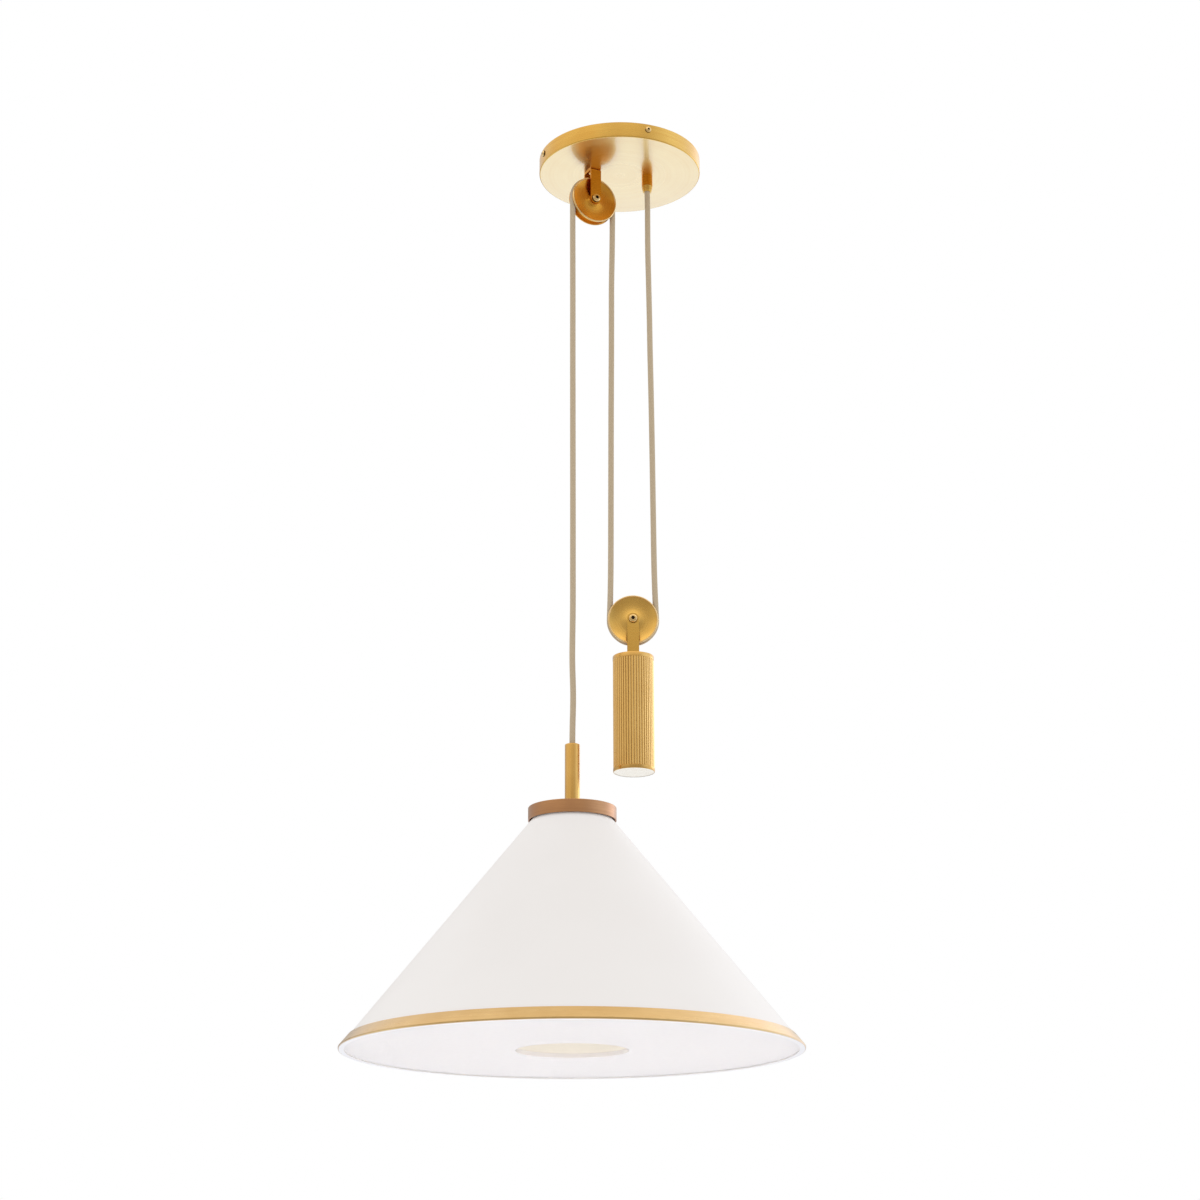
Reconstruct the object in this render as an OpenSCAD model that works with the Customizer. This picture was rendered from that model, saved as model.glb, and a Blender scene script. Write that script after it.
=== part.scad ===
// Rise and fall pendant. A cord leaves a grip in the ceiling canopy, runs down round the
// pulley of a fluted counterweight, up over a pulley under the canopy and down to the stem
// of a conical shade. The origin is the centre of the ceiling face, +Z is up, and the lamp
// hangs at the top of its travel. Sizes are in millimetres.

/* [Canopy] */
// Outer diameter of the canopy
canopy_d = 197.5; // [196:0.5:240]
// Height of the canopy's side wall
canopy_h = 19.5; // [19:0.5:30]
// Wall of the spun canopy
canopy_wall = 1.6; // [1:0.1:2.2]
// Radius of the canopy's lower edge
canopy_edge_r = 1.4; // [0.5:0.1:3]
// Direction of the first of the four side screws, in degrees from +X
side_screw_az = 20; // [0:1:40]
// Depth of the side screws below the ceiling
side_screw_drop = 7.1; // [5:0.1:8]

/* [Mounting plate] */
// Thickness of the steel plate
plate_t = 2; // [1.5:0.1:3]
// Diameter of the plate's disc
plate_d = 124; // [122:1:140]
// Width of the plate's four arms
plate_arm_w = 18; // [14:1:24]
// Distance between the two ceiling screws
box_screw_pitch = 88.9; // [83:0.1:96]
// Width of each ceiling screw slot
box_slot_w = 4.6; // [4.2:0.1:5.4]
// Length of each ceiling screw slot, end to end
box_slot_l = 12; // [8:0.5:14]
// Diameter of the cable hole in the middle
cable_hole_d = 25; // [16:1:32]

/* [Cord] */
// Diameter of the fabric-covered cord
cord_d = 6.8; // [5.5:0.1:7.4]
// Position of the cord grip from the canopy's centre, to the right
grip_x = 33.9; // [30:0.1:40]
// Diameter of the cord grip
grip_d = 13.2; // [12.6:0.1:16]
// Diameter of the cord grip's lower end
grip_tip_d = 10.6; // [10.2:0.1:12.5]
// Number of grooves down the cord grip
grip_groove_n = 8; // [6:1:12]
// Length of the cord grip's straight body
grip_body_h = 13.8; // [10:0.2:20]
// Length of the cord grip's tapered cap
grip_cap_h = 8; // [6:0.2:16]

/* [Pulleys] */
// Outer diameter of both pulley wheels
wheel_d = 58.6; // [56:0.2:64]
// Width of the wheels over their rims
wheel_w = 12.4; // [12:0.2:16]
// Height of the cord's outside above the rim, in the groove
cord_proud = 1.2; // [0.4:0.1:2]
// Width of the wheel's hub
hub_w = 10.4; // [9:0.2:11.4]
// Diameter of the wheel's hub
hub_d = 12.6; // [11:0.2:14]
// Diameter of the axle bolts
axle_d = 6; // [5:0.1:7]
// Gap between the canopy's face and the cord over the upper wheel
upper_gap = 9.5; // [8:0.1:30]
// Upper pulley's centre from the canopy's centre, to the right
upper_x = -33.2; // [-36:0.1:-30]
// Upper pulley's centre from the canopy's centre, to the back
upper_y = -9.5; // [-12:0.1:-7]
// Turn of the upper pulley about the vertical, in degrees
upper_az = 26.3; // [20:0.1:32]
// Distance from the upper axle down to the lower one
axle_span = 534.5; // [500:0.5:640]
// Width of the bracket straps
strap_w = 13.6; // [12.6:0.2:16]
// Thickness of the bracket straps
strap_t = 2; // [1.5:0.1:2.6]
// Gap between a bracket's two arms
strap_gap = 15.4; // [15.2:0.2:20]

/* [Counterweight] */
// Diameter of the counterweight
weight_d = 47.6; // [46:0.2:49]
// Length of the counterweight
weight_l = 137.5; // [110:0.5:150]
// Gap between the cord under the lower wheel and the counterweight
lower_gap = 13; // [10:0.1:30]
// Height of the plain band at the top
top_band_h = 5.5; // [5:0.1:10]
// Height of the plain band at the bottom
bottom_band_h = 4.6; // [4:0.1:10]
// Number of flutes round the counterweight
flute_n = 48; // [36:1:60]
// Depth of the flutes
flute_depth = 0.8; // [0.4:0.1:1]
// Wall of the fluted sleeve
sleeve_wall = 3.2; // [2.6:0.1:4]

/* [Lamp] */
// Distance from the counterweight's bottom down to the cap
cap_drop = 47; // [35:0.5:120]
// Diameter of the stem
stem_d = 17; // [16.8:0.1:20]
// Length of the stem above the cap
stem_l = 74.5; // [60:0.5:100]
// Diameter of the cap on the shade
cap_d = 99.4; // [98:0.2:99.6]
// Height of the cap
cap_h = 14.8; // [13:0.1:20]
// Wall of the cap
cap_wall = 1.5; // [1:0.1:2]
// Largest diameter of the shade, over its metal band
rim_d = 508; // [420:1:620]
// Height of the shade from the cap's lower edge to the rim
shade_h = 256.2; // [220:0.2:300]
// Radius of the white cone level with the cap's lower edge
cone_neck_r = 46.4; // [45.4:0.1:47]
// Wall of the spun shade
shade_wall = 1; // [0.8:0.1:1.5]
// Height of the metal band
band_h = 13.8; // [11:0.1:30]
// Thickness of the metal band's lip
band_wall = 1; // [0.8:0.1:1.2]
// Thickness of the diffuser
diffuser_t = 2; // [1.5:0.1:2.4]
// Diameter of the hole in the diffuser
diffuser_hole_d = 124; // [100:1:160]
// Height of the collar round that hole
diffuser_collar_h = 5; // [4:0.5:10]

/* [Lampholder] */
// Outer diameter of the lampholder
holder_d = 39; // [36:0.5:44]
// Length of the lampholder's skirt
holder_l = 36; // [32:0.5:44]
// Bore of the screw shell
shell_bore_d = 26.4; // [26:0.1:27]
// Length of the screw shell
shell_l = 26; // [22:0.5:28]

/* [Hidden] */
$fn = 96;

// Clearances
seat_gap = 0.1;        // between pieces that seat on each other round a curve
fit_gap = 0.05;        // round a fixed shaft or a thread, on the radius
running_gap = 0.05;    // between an axle and its bush, on the radius
side_gap = 0.3;        // between a turning wheel and what stands beside it
groove_gap = 0.2;      // between the cord and its groove

// Canopy levels
canopy_r = canopy_d / 2;
canopy_face_z = -canopy_h;
canopy_floor_z = -canopy_h + canopy_wall;
tab_r = canopy_r - canopy_wall - 0.4;
tab_h = side_screw_drop + 4;
side_screw_d = 4;

// Cord and pulleys
cord_r = cord_d / 2;
wheel_r = wheel_d / 2;
pitch_r = wheel_r + cord_proud - cord_r;
groove_r = cord_r + groove_gap;
bush_r = axle_d / 2 + 1.05;
arm_z = strap_gap / 2;
upper_axle_drop = wheel_r + cord_proud + upper_gap;
weight_drop = wheel_r + cord_proud + lower_gap;
upper_axle_z = canopy_face_z - upper_axle_drop;
lower_axle_z = upper_axle_z - axle_span;
across = [cos(upper_az), sin(upper_az)];
upper_centre = [upper_x, upper_y, upper_axle_z];
lamp_xy = [upper_x, upper_y] - pitch_r * across;
middle_xy = [upper_x, upper_y] + pitch_r * across;
grip_xy = [grip_x, middle_xy[1]];
lower_centre = [(grip_x + middle_xy[0]) / 2, middle_xy[1], lower_axle_z];

// Screws: diameter, head diameter, head height, socket across flats
m3 = [3, 5.7, 1.7, 2];
m4 = [4, 7.6, 2.2, 2.5];
m5 = [5, 9.5, 2.8, 3];
m6 = [axle_d, 10.5, 3.3, 4];
m5_nut_af = 8;
m5_nut_h = 4;
m6_nut_af = 10;
m6_nut_h = 5;

// Cord grip levels
grip_thread_r = 5;
grip_cap_z = canopy_face_z - grip_body_h;
grip_tip_z = grip_cap_z - grip_cap_h;
grip_locknut_af = 14;
grip_locknut_h = 4;
cord_end_z = canopy_floor_z + grip_locknut_h + 2;

// Wiring inside the canopy
block_size = [32, 17, 11];
block_xy = [22, 38];
pole_pitch = 10;
earth_xy = [30, -28];
core_r = 0.9;
wire_z = -8;

// Counterweight levels
weight_r = weight_d / 2;
weight_top_z = lower_axle_z - weight_drop;
weight_bottom_z = weight_top_z - weight_l;
sleeve_top_z = weight_top_z - top_band_h;
sleeve_bottom_z = weight_bottom_z + bottom_band_h;
sleeve_r_in = weight_r - sleeve_wall;
spigot_h = 3;

// Lamp levels
stem_r = stem_d / 2;
cap_top_z = weight_bottom_z - cap_drop;
stem_top_z = cap_top_z + stem_l;
stem_wall = 1.5;
stem_bush_h = 12;
cap_r = cap_d / 2;
cap_bottom_z = cap_top_z - cap_h;
nipple_r = 5;
nipple_bore_r = cord_r + 0.5;
shade_top_z = cap_top_z - cap_wall - seat_gap;
rim_r = rim_d / 2;
rim_z = cap_bottom_z - shade_h;
lip_h = 2;
lip_w = 6.7;
band_proud = 1.7;
cone_slope = (rim_r - band_proud - cone_neck_r) / (shade_h - lip_h);
cone_wall = shade_wall * sqrt(1 + cone_slope * cone_slope);
neck_r = 44.5;
neck_corner_r = 1.5;
ledge_z = rim_z + band_wall;
shade_end_z = ledge_z + diffuser_t + 1.2;
diffuser_r = rim_r - 4.4;
washer_t = 1.2;
shade_nut_h = 4.5;
shade_nut_af = 14;

// Lampholder levels
holder_r = holder_d / 2;
holder_cap_h = 15;
holder_top_z = shade_top_z - shade_wall - washer_t - shade_nut_h - 0.6;
holder_joint_z = holder_top_z - holder_cap_h;
holder_mouth_z = holder_joint_z - holder_l;
holder_web_t = 5;
shell_r = shell_bore_d / 2;
shell_wall = 0.6;
shell_mouth_z = holder_mouth_z + 2;
nipple_top_z = cap_top_z + stem_bush_h - 2;
nipple_bottom_z = holder_top_z - 8;

// Cord routes. Each point is the share of the way down a stretch and how far the cord
// stands off the straight line there, to the right: its stiffness bows it slightly.
fixed_wave = [
    [0, 0], [0.04, 0], [0.08, -0.3], [0.14, -0.7], [0.22, -0.6], [0.3, -0.5],
    [0.38, -0.6], [0.46, -0.5], [0.54, -0.5], [0.62, -0.6], [0.7, -0.8], [0.78, -1],
    [0.86, -1.2], [0.92, -1], [0.97, -0.4], [1, 0]
];
middle_wave = [
    [0, 0], [0.06, 0], [0.12, -0.1], [0.2, -0.5], [0.28, -0.3], [0.36, -0.1],
    [0.44, 0], [0.52, 0.1], [0.6, 0.3], [0.68, 0.5], [0.76, 0.7], [0.84, 0.9],
    [0.9, 0.9], [0.95, 0.6], [0.98, 0.2], [1, 0]
];
lamp_wave = [
    [0, 0], [0.05, 0], [0.12, 0.1], [0.2, 0.2], [0.3, 0.2], [0.4, 0.3], [0.5, 0.4],
    [0.6, 0.5], [0.68, 0.5], [0.76, 0.5], [0.82, 0], [0.86, -0.1], [0.91, 0.8],
    [0.94, 0.7], [0.97, 0.2], [1, 0]
];
cord_sides = 12;
core_sides = 8;

// Colours
brass = "#C79A4E";
pale_brass = "#D8B26A";
bronze = "#B98556";
white_paint = "#ECEAE6";
acrylic = "#F4F4F4";
steel = "#A9ACB0";
cord_cloth = "#A89A86";
nylon = "#E8E6DE";
phenolic = "#2B2B2B";

// A point on the axis through xy
function above(xy, z) = [xy[0], xy[1], z];

// Points along an arc
function arc(centre, r, from, to, steps) = [
    for (i = [0:steps])
        centre + r * [cos(from + (to - from) * i / steps), sin(from + (to - from) * i / steps)]
];

// Radius of the cone's outside at a level
function cone_r(z) = cone_neck_r + cone_slope * (cap_bottom_z - z);

// Points of a cord stretch between two ends, with its bow
function stretch(top, bottom, wave) = [
    for (w = wave) top + (bottom - top) * w[0] + [w[1], 0, 0]
];

function unit(v) = v / norm(v);

// Direction of a route at point i: its first and last points take the given directions
function heading(points, i, first, last) =
    i == 0 ? first : i == len(points) - 1 ? last : unit(points[i + 1] - points[i - 1]);

// Corners of the tube's rings, in order along the route
function ring_corners(points, r, sides, side, first, last) = [
    for (i = [0:len(points) - 1])
        let (along = heading(points, i, first, last),
             other = unit(cross(along, side)),
             flat = cross(other, along))
            for (k = [0:sides - 1])
                points[i] + r * (cos(360 * k / sides) * flat + sin(360 * k / sides) * other)
];

// Triangles between rings i and i + 1
function ring_faces(i, sides) = [
    for (k = [0:sides - 1])
        let (a = i * sides + k, b = i * sides + (k + 1) % sides)
            each [[a, a + sides, b], [b, a + sides, b + sides]]
];

// A tube along a route, all of whose rings are square to a direction across `side`
module tube(points, r, sides, side, first, last) {
    rings = len(points);
    start_cap = [for (k = [0:sides - 1]) k];
    end_cap = [for (k = [sides - 1:-1:0]) (rings - 1) * sides + k];
    polyhedron(
        points = ring_corners(points, r, sides, side, first, last),
        faces = concat([start_cap, end_cap], [for (i = [0:rings - 2]) each ring_faces(i, sides)])
    );
}

// A plumb stretch of cord between two ends
module cord_stretch(top, bottom, wave) {
    color(cord_cloth)
        tube(stretch(top, bottom, wave), cord_r, cord_sides, [0, 1, 0], [0, 0, -1], [0, 0, -1]);
}

// A straight vertical piece of cord
module cord_straight(xy, top, bottom) {
    color(cord_cloth) translate(above(xy, bottom)) cylinder(r = cord_r, h = top - bottom);
}

// A ring standing on z = 0
module ring(r_out, r_in, h) {
    difference() {
        cylinder(r = r_out, h = h);
        translate([0, 0, -1]) cylinder(r = r_in, h = h + 2);
    }
}

// A hexagonal prism with a round bore
module hex_ring(across_flats, bore_r, h) {
    difference() {
        cylinder(d = across_flats / cos(30), h = h, $fn = 6);
        translate([0, 0, -1]) cylinder(r = bore_r, h = h + 2);
    }
}

// A button-head screw. Its head stands on z = 0 and its shank goes down.
module button_screw(size, length) {
    head_r = size[1] / 2;
    head_h = size[2];
    flat_r = size[3] * 0.7;
    dome = [
        for (a = [0:15:90])
            [flat_r + (head_r - flat_r) * cos(a), head_h * (0.15 + 0.85 * sin(a))]
    ];
    difference() {
        union() {
            rotate_extrude() polygon(concat([[0, 0], [head_r, 0]], dome, [[0, head_h]]));
            translate([0, 0, -length]) cylinder(d = size[0], h = length);
        }
        translate([0, 0, head_h * 0.35])
            cylinder(d = size[3] / cos(30), h = head_h, $fn = 6);
    }
}

// Children placed at a pulley: x across it, y up and z along its axle, towards the front
module at_pulley(centre, az) {
    translate(centre) rotate([90, 0, az]) children();
}

module at_upper() {
    at_pulley(upper_centre, upper_az) children();
}

module at_lower() {
    at_pulley(lower_centre, 0) children();
}

module at_lamp() {
    translate(lamp_xy) children();
}

// One pulley wheel: a grooved rim, dished faces and a hub, turned about its axle
module wheel() {
    rim_in_r = wheel_r - 2;
    dish_w = 5.2;
    dish_r = 13;
    mouth_w = groove_r + 0.6;
    half_w = wheel_w / 2;
    front = [
        [bush_r + 0.02, hub_w / 2],
        [hub_d / 2, hub_w / 2],
        [hub_d / 2 + 1.2, dish_w / 2],
        [dish_r, dish_w / 2],
        each [
            for (a = [10:16:90])
                [dish_r + (rim_in_r - dish_r) * sin(a), dish_w / 2 + (half_w - dish_w / 2) * (1 - cos(a))]
        ],
        [rim_in_r, half_w],
        [wheel_r - 0.5, half_w],
        [wheel_r, half_w - 0.5],
        [wheel_r, mouth_w]
    ];
    back = [for (i = [len(front) - 1:-1:0]) [front[i][0], -front[i][1]]];
    groove = arc([pitch_r, 0], groove_r, 80, 280, 20);
    rotate_extrude() polygon(concat(front, groove, back));
}

module bush() {
    translate([0, 0, -hub_w / 2]) ring(bush_r, axle_d / 2 + running_gap, hub_w);
}

// A strap bent to a U. Its web lies at y = web_y and its arms end round at the axle.
module strap(web_y) {
    up = sign(web_y);
    outer = arm_z + strap_t;
    bend_r = strap_t + 0.5;
    height = abs(web_y);
    difference() {
        intersection() {
            rotate([0, 90, 0]) translate([0, 0, -strap_w / 2]) linear_extrude(strap_w)
                difference() {
                    strap_outline(outer, height, bend_r, up);
                    strap_outline(arm_z, height - strap_t, bend_r - strap_t, up);
                }
            translate([0, 0, -outer - 1]) linear_extrude(2 * outer + 2)
                union() {
                    circle(d = strap_w);
                    translate([-strap_w / 2, up > 0 ? 0 : -height]) square([strap_w, height]);
                }
        }
        translate([0, 0, -outer - 1]) cylinder(r = axle_d / 2 + 0.1, h = 2 * outer + 2);
        rotate([90, 0, 0]) translate([0, 0, -height - 1])
            cylinder(r = m5[0] / 2 + 0.2, h = 2 * height + 2);
    }
}

// Outline of a U, seen along its width: y is up and x runs along the axle
module strap_outline(half_w, height, corner_r, up) {
    foot = -strap_w;
    mirror([0, up > 0 ? 0 : 1])
        polygon(concat(
            [[half_w, foot]],
            arc([half_w - corner_r, height - corner_r], corner_r, 0, 90, 8),
            arc([corner_r - half_w, height - corner_r], corner_r, 90, 180, 8),
            [[-half_w, foot]]
        ));
}

module axle_bolt() {
    translate([0, 0, arm_z + strap_t])
        button_screw(m6, 2 * (arm_z + strap_t) + m6_nut_h + 1.5);
}

// A dome nut behind the bracket
module axle_nut() {
    dome_r = 4.6;
    back = -arm_z - strap_t;
    difference() {
        union() {
            translate([0, 0, back - m6_nut_h])
                cylinder(d = m6_nut_af / cos(30), h = m6_nut_h, $fn = 6);
            translate([0, 0, back - m6_nut_h]) rotate_extrude()
                polygon(concat([[0, 0]], arc([0, 0], dome_r, 0, -90, 10)));
        }
        translate([0, 0, back - m6_nut_h - 2])
            cylinder(r = axle_d / 2 + fit_gap, h = m6_nut_h + 3);
    }
}

module axle_spacers() {
    spacer_t = arm_z - hub_w / 2 - side_gap;
    for (z = [arm_z - spacer_t, -arm_z])
        translate([0, 0, z]) ring(4.6, axle_d / 2 + fit_gap, spacer_t);
}

// Half a turn of cord in a wheel's groove, from angle `from`
module half_turn(from) {
    rotate([0, 0, from]) rotate_extrude(angle = 180) translate([pitch_r, 0]) circle(r = cord_r);
}

// ---- Canopy ----

// Turned to each of the four side screws, with +X outwards
module at_side_screws() {
    for (a = [0:90:270]) rotate([0, 0, side_screw_az + a]) children();
}

module slot(width, length) {
    for (x = [-1, 1]) translate([x * (length - width) / 2, 0]) circle(d = width);
    translate([-(length - width) / 2, -width / 2]) square([length - width, width]);
}

module mounting_plate() {
    tab_in = tab_r - plate_t;
    color(steel) difference() {
        union() {
            translate([0, 0, -plate_t]) cylinder(d = plate_d, h = plate_t);
            at_side_screws() {
                translate([0, -plate_arm_w / 2, -plate_t])
                    cube([tab_r - 1, plate_arm_w, plate_t]);
                translate([tab_in - 1, -plate_arm_w / 2, -tab_h])
                    cube([plate_t, plate_arm_w, tab_h]);
            }
        }
        translate([0, 0, -plate_t - 1]) cylinder(d = cable_hole_d, h = plate_t + 2);
        for (x = [-1, 1])
            translate([x * box_screw_pitch / 2, 0, -plate_t - 1])
                linear_extrude(plate_t + 2) slot(box_slot_w, box_slot_l);
        at_side_screws()
            translate([tab_in - 3, 0, -side_screw_drop]) rotate([0, 90, 0])
                cylinder(r = side_screw_d / 2 + fit_gap, h = plate_t + 6);
        translate(above(earth_xy, -plate_t - 1)) cylinder(r = m4[0] / 2 + fit_gap, h = plate_t + 2);
        translate(above(block_xy, -plate_t - 1)) cylinder(r = m3[0] / 2 + fit_gap, h = plate_t + 2);
    }
}

module canopy_shell() {
    inner_r = canopy_r - canopy_wall;
    inner_edge_r = max(canopy_edge_r - canopy_wall, 0.4);
    color(brass) difference() {
        rotate_extrude() polygon(concat(
            [[0, canopy_face_z]],
            arc([canopy_r - canopy_edge_r, canopy_face_z + canopy_edge_r], canopy_edge_r, -90, 0, 8),
            [[canopy_r, 0], [inner_r, 0]],
            arc([inner_r - inner_edge_r, canopy_floor_z + inner_edge_r], inner_edge_r, 0, -90, 4),
            [[0, canopy_floor_z]]
        ));
        at_side_screws()
            translate([inner_r - 3, 0, -side_screw_drop]) rotate([0, 90, 0])
                cylinder(r = side_screw_d / 2 + 0.2, h = canopy_wall + 6);
        translate(above(grip_xy, canopy_face_z - 1))
            cylinder(r = grip_thread_r + 0.1, h = canopy_wall + 2);
        translate([upper_x, upper_y, canopy_face_z - 1])
            cylinder(r = m5[0] / 2 + 0.2, h = canopy_wall + 2);
    }
}

module canopy_side_screws() {
    color(pale_brass) at_side_screws()
        translate([canopy_r, 0, -side_screw_drop]) rotate([0, 90, 0])
            button_screw(m4, canopy_r - tab_r + plate_t + 4);
}

// A block with three poles, a wire tunnel through each and two screw wells over it
module terminal_block() {
    color(nylon) difference() {
        translate(above(block_xy, -plate_t) - [block_size[0] / 2, block_size[1] / 2, block_size[2]])
            cube(block_size);
        for (pole = [-1:1]) {
            translate(above(block_xy + [pole * pole_pitch, -block_size[1]], wire_z))
                rotate([-90, 0, 0]) cylinder(r = 1.6, h = 2 * block_size[1]);
            for (y = [-1, 1])
                translate(above(block_xy + [pole * pole_pitch, y * 4], -plate_t - block_size[2] - 1))
                    cylinder(r = 1.9, h = 6);
        }
        translate(above(block_xy + [pole_pitch / 2, 0], -plate_t - block_size[2] - 1))
            cylinder(r = 1.6, h = 0.5);
        translate(above(block_xy, -plate_t - block_size[2] - 1)) cylinder(r = 1.6, h = block_size[2] + 2);
    }
}

module terminal_screws() {
    color(pale_brass)
        for (pole = [-1:1], y = [-1, 1])
            translate(above(block_xy + [pole * pole_pitch, y * 4], -plate_t - block_size[2] + 0.6))
                difference() {
                    cylinder(r = 1.8, h = 4.2);
                    translate([-2, -0.3, -1]) cube([4, 0.6, 1.6]);
                }
}

module block_screw() {
    color(steel) translate(above(block_xy, -plate_t - block_size[2]))
        mirror([0, 0, 1]) button_screw(m3, block_size[2] + plate_t);
}

module earth_screw() {
    washer_h = 0.8;
    color(steel) translate(above(earth_xy, -plate_t - washer_h)) {
        ring(4.5, m4[0] / 2 + fit_gap, washer_h);
        mirror([0, 0, 1]) button_screw(m4, plate_t + washer_h);
    }
}

// One insulated core: up out of the cord's end, over, and level to its terminal
module core_wire(start, finish) {
    run = finish - start;
    level = unit(run);
    side = [-level[1], level[0], 0];
    out = above(level, 0);
    rise = wire_z - cord_end_z;
    foot = above(start, cord_end_z);
    bend = [
        for (a = [0:22.5:90]) foot + rise * (1 - cos(a)) * out + [0, 0, rise * sin(a)]
    ];
    tube(concat(bend, [above(start + run / 2, wire_z), above(finish, wire_z)]),
        core_r, core_sides, side, [0, 0, 1], out);
}

module lead_wires() {
    block_face_y = block_xy[1] - block_size[1] / 2;
    color("brown")
        core_wire(grip_xy + [1, 1.3], [block_xy[0] + pole_pitch, block_face_y]);
    color("royalblue")
        core_wire(grip_xy + [-1.3, 1.1], [block_xy[0], block_face_y]);
    color("yellowgreen")
        core_wire(grip_xy + [0, -1.4], earth_xy + [0.6, 5.2]);
}

module cord_grip_body() {
    thread_h = canopy_wall + grip_locknut_h + 1.4;
    color(brass) translate(above(grip_xy, grip_cap_z)) difference() {
        union() {
            cylinder(d = grip_d, h = grip_body_h);
            translate([0, 0, grip_body_h - 1]) cylinder(r = grip_thread_r, h = thread_h + 1);
        }
        translate([0, 0, -1]) cylinder(r = cord_r + fit_gap, h = grip_body_h + thread_h + 2);
        grip_grooves(grip_d / 2, 0, grip_body_h + 2, 0);
    }
}

module cord_grip_cap() {
    taper = atan((grip_d - grip_tip_d) / 2 / grip_cap_h);
    color(brass) translate(above(grip_xy, grip_tip_z)) difference() {
        rotate_extrude() polygon([
            [cord_r + fit_gap, 0], [grip_tip_d / 2 - 0.5, 0], [grip_tip_d / 2, 0.5],
            [grip_d / 2, grip_cap_h - 0.6], [grip_d / 2 - 0.3, grip_cap_h],
            [cord_r + fit_gap, grip_cap_h]
        ]);
        grip_grooves(grip_tip_d / 2, -0.5, grip_cap_h + 2, taper);
    }
}

// Grooves down the cord grip, from a foot at radius r, leaning out by `taper` degrees
module grip_grooves(r, foot_z, length, taper) {
    for (i = [0:grip_groove_n - 1])
        rotate([0, 0, -86 + 360 * i / grip_groove_n])
            translate([r + 0.15, 0, foot_z]) rotate([0, taper, 0]) translate([0, 0, -1])
                cylinder(r = 0.55, h = length, $fn = 24);
}

module cord_grip_locknut() {
    color(pale_brass) translate(above(grip_xy, canopy_floor_z))
        hex_ring(grip_locknut_af, grip_thread_r + fit_gap, grip_locknut_h);
}

module cord_in_grip() {
    cord_straight(grip_xy, cord_end_z, grip_tip_z);
}

// ---- Upper pulley ----

module upper_bracket() {
    color(brass) at_upper() strap(upper_axle_drop);
}

module upper_bracket_screw() {
    head_z = canopy_face_z - strap_t;
    color(pale_brass) translate([upper_x, upper_y, head_z])
        mirror([0, 0, 1]) button_screw(m5, strap_t + canopy_wall + m5_nut_h + 1.5);
}

module upper_bracket_nut() {
    color(pale_brass) translate([upper_x, upper_y, canopy_floor_z])
        hex_ring(m5_nut_af, m5[0] / 2 + fit_gap, m5_nut_h);
}

module upper_axle_bolt() {
    color(pale_brass) at_upper() axle_bolt();
}

module upper_axle_nut() {
    color(pale_brass) at_upper() axle_nut();
}

module upper_axle_spacers() {
    color(pale_brass) at_upper() axle_spacers();
}

module upper_wheel() {
    color(brass) at_upper() wheel();
}

module upper_wheel_bush() {
    color(nylon) at_upper() bush();
}

// ---- Cord ----

module cord_upper_wrap() {
    color(cord_cloth) at_upper() half_turn(0);
}

module cord_fixed_strand() {
    cord_stretch(above(grip_xy, grip_tip_z), lower_centre + [pitch_r, 0, 0], fixed_wave);
}

module cord_middle_strand() {
    cord_stretch(above(middle_xy, upper_axle_z), lower_centre - [pitch_r, 0, 0], middle_wave);
}

module cord_lamp_strand() {
    cord_stretch(above(lamp_xy, upper_axle_z), above(lamp_xy, stem_top_z), lamp_wave);
}

module cord_lower_loop() {
    color(cord_cloth) at_lower() half_turn(180);
}

// ---- Lower pulley and counterweight ----

module lower_wheel() {
    color(brass) at_lower() wheel();
}

module lower_wheel_bush() {
    color(nylon) at_lower() bush();
}

module lower_bracket() {
    color(brass) at_lower() strap(-weight_drop);
}

module lower_axle_bolt() {
    color(pale_brass) at_lower() axle_bolt();
}

module lower_axle_nut() {
    color(pale_brass) at_lower() axle_nut();
}

module lower_axle_spacers() {
    color(pale_brass) at_lower() axle_spacers();
}

// Children at a level on the counterweight's axis
module at_weight(z) {
    translate([lower_centre[0], lower_centre[1], z]) children();
}

module weight_top_cap() {
    chamfer = 0.8;
    plug_r = sleeve_r_in - seat_gap;
    color(brass) at_weight(weight_top_z) rotate_extrude() polygon([
        [m5[0] / 2 + fit_gap, 0], [weight_r - chamfer, 0], [weight_r, -chamfer],
        [weight_r, -top_band_h], [plug_r, -top_band_h], [plug_r, -top_band_h - spigot_h],
        [m5[0] / 2 + fit_gap, -top_band_h - spigot_h]
    ]);
}

// A tube with round-backed reeds side by side, each from three flats
module weight_sleeve() {
    step = 360 / flute_n;
    crest_r = weight_r - 0.15;
    reed = [[0, flute_depth], [0.2, 0.2 * flute_depth], [0.5, 0], [0.8, 0.2 * flute_depth]];
    color(pale_brass) at_weight(sleeve_bottom_z) linear_extrude(sleeve_top_z - sleeve_bottom_z)
        difference() {
            polygon([
                for (i = [0:flute_n - 1], p = reed)
                    let (a = step * (i + p[0]), r = crest_r - p[1]) r * [cos(a), sin(a)]
            ]);
            circle(r = sleeve_r_in);
        }
}

module weight_core() {
    core_top = sleeve_top_z - spigot_h - seat_gap;
    core_bottom = sleeve_bottom_z + spigot_h + seat_gap;
    color(steel) at_weight(core_bottom) difference() {
        cylinder(r = sleeve_r_in - seat_gap, h = core_top - core_bottom);
        translate([0, 0, core_top - core_bottom - 12])
            cylinder(r = m5[0] / 2 + fit_gap, h = 13);
    }
}

module weight_bottom_cap() {
    chamfer = 0.5;
    plug_r = sleeve_r_in - seat_gap;
    color(pale_brass) at_weight(weight_bottom_z) rotate_extrude() polygon([
        [0, 0], [weight_r - chamfer, 0], [weight_r, chamfer], [weight_r, bottom_band_h],
        [plug_r, bottom_band_h], [plug_r, bottom_band_h + spigot_h], [0, bottom_band_h + spigot_h]
    ]);
}

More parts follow.
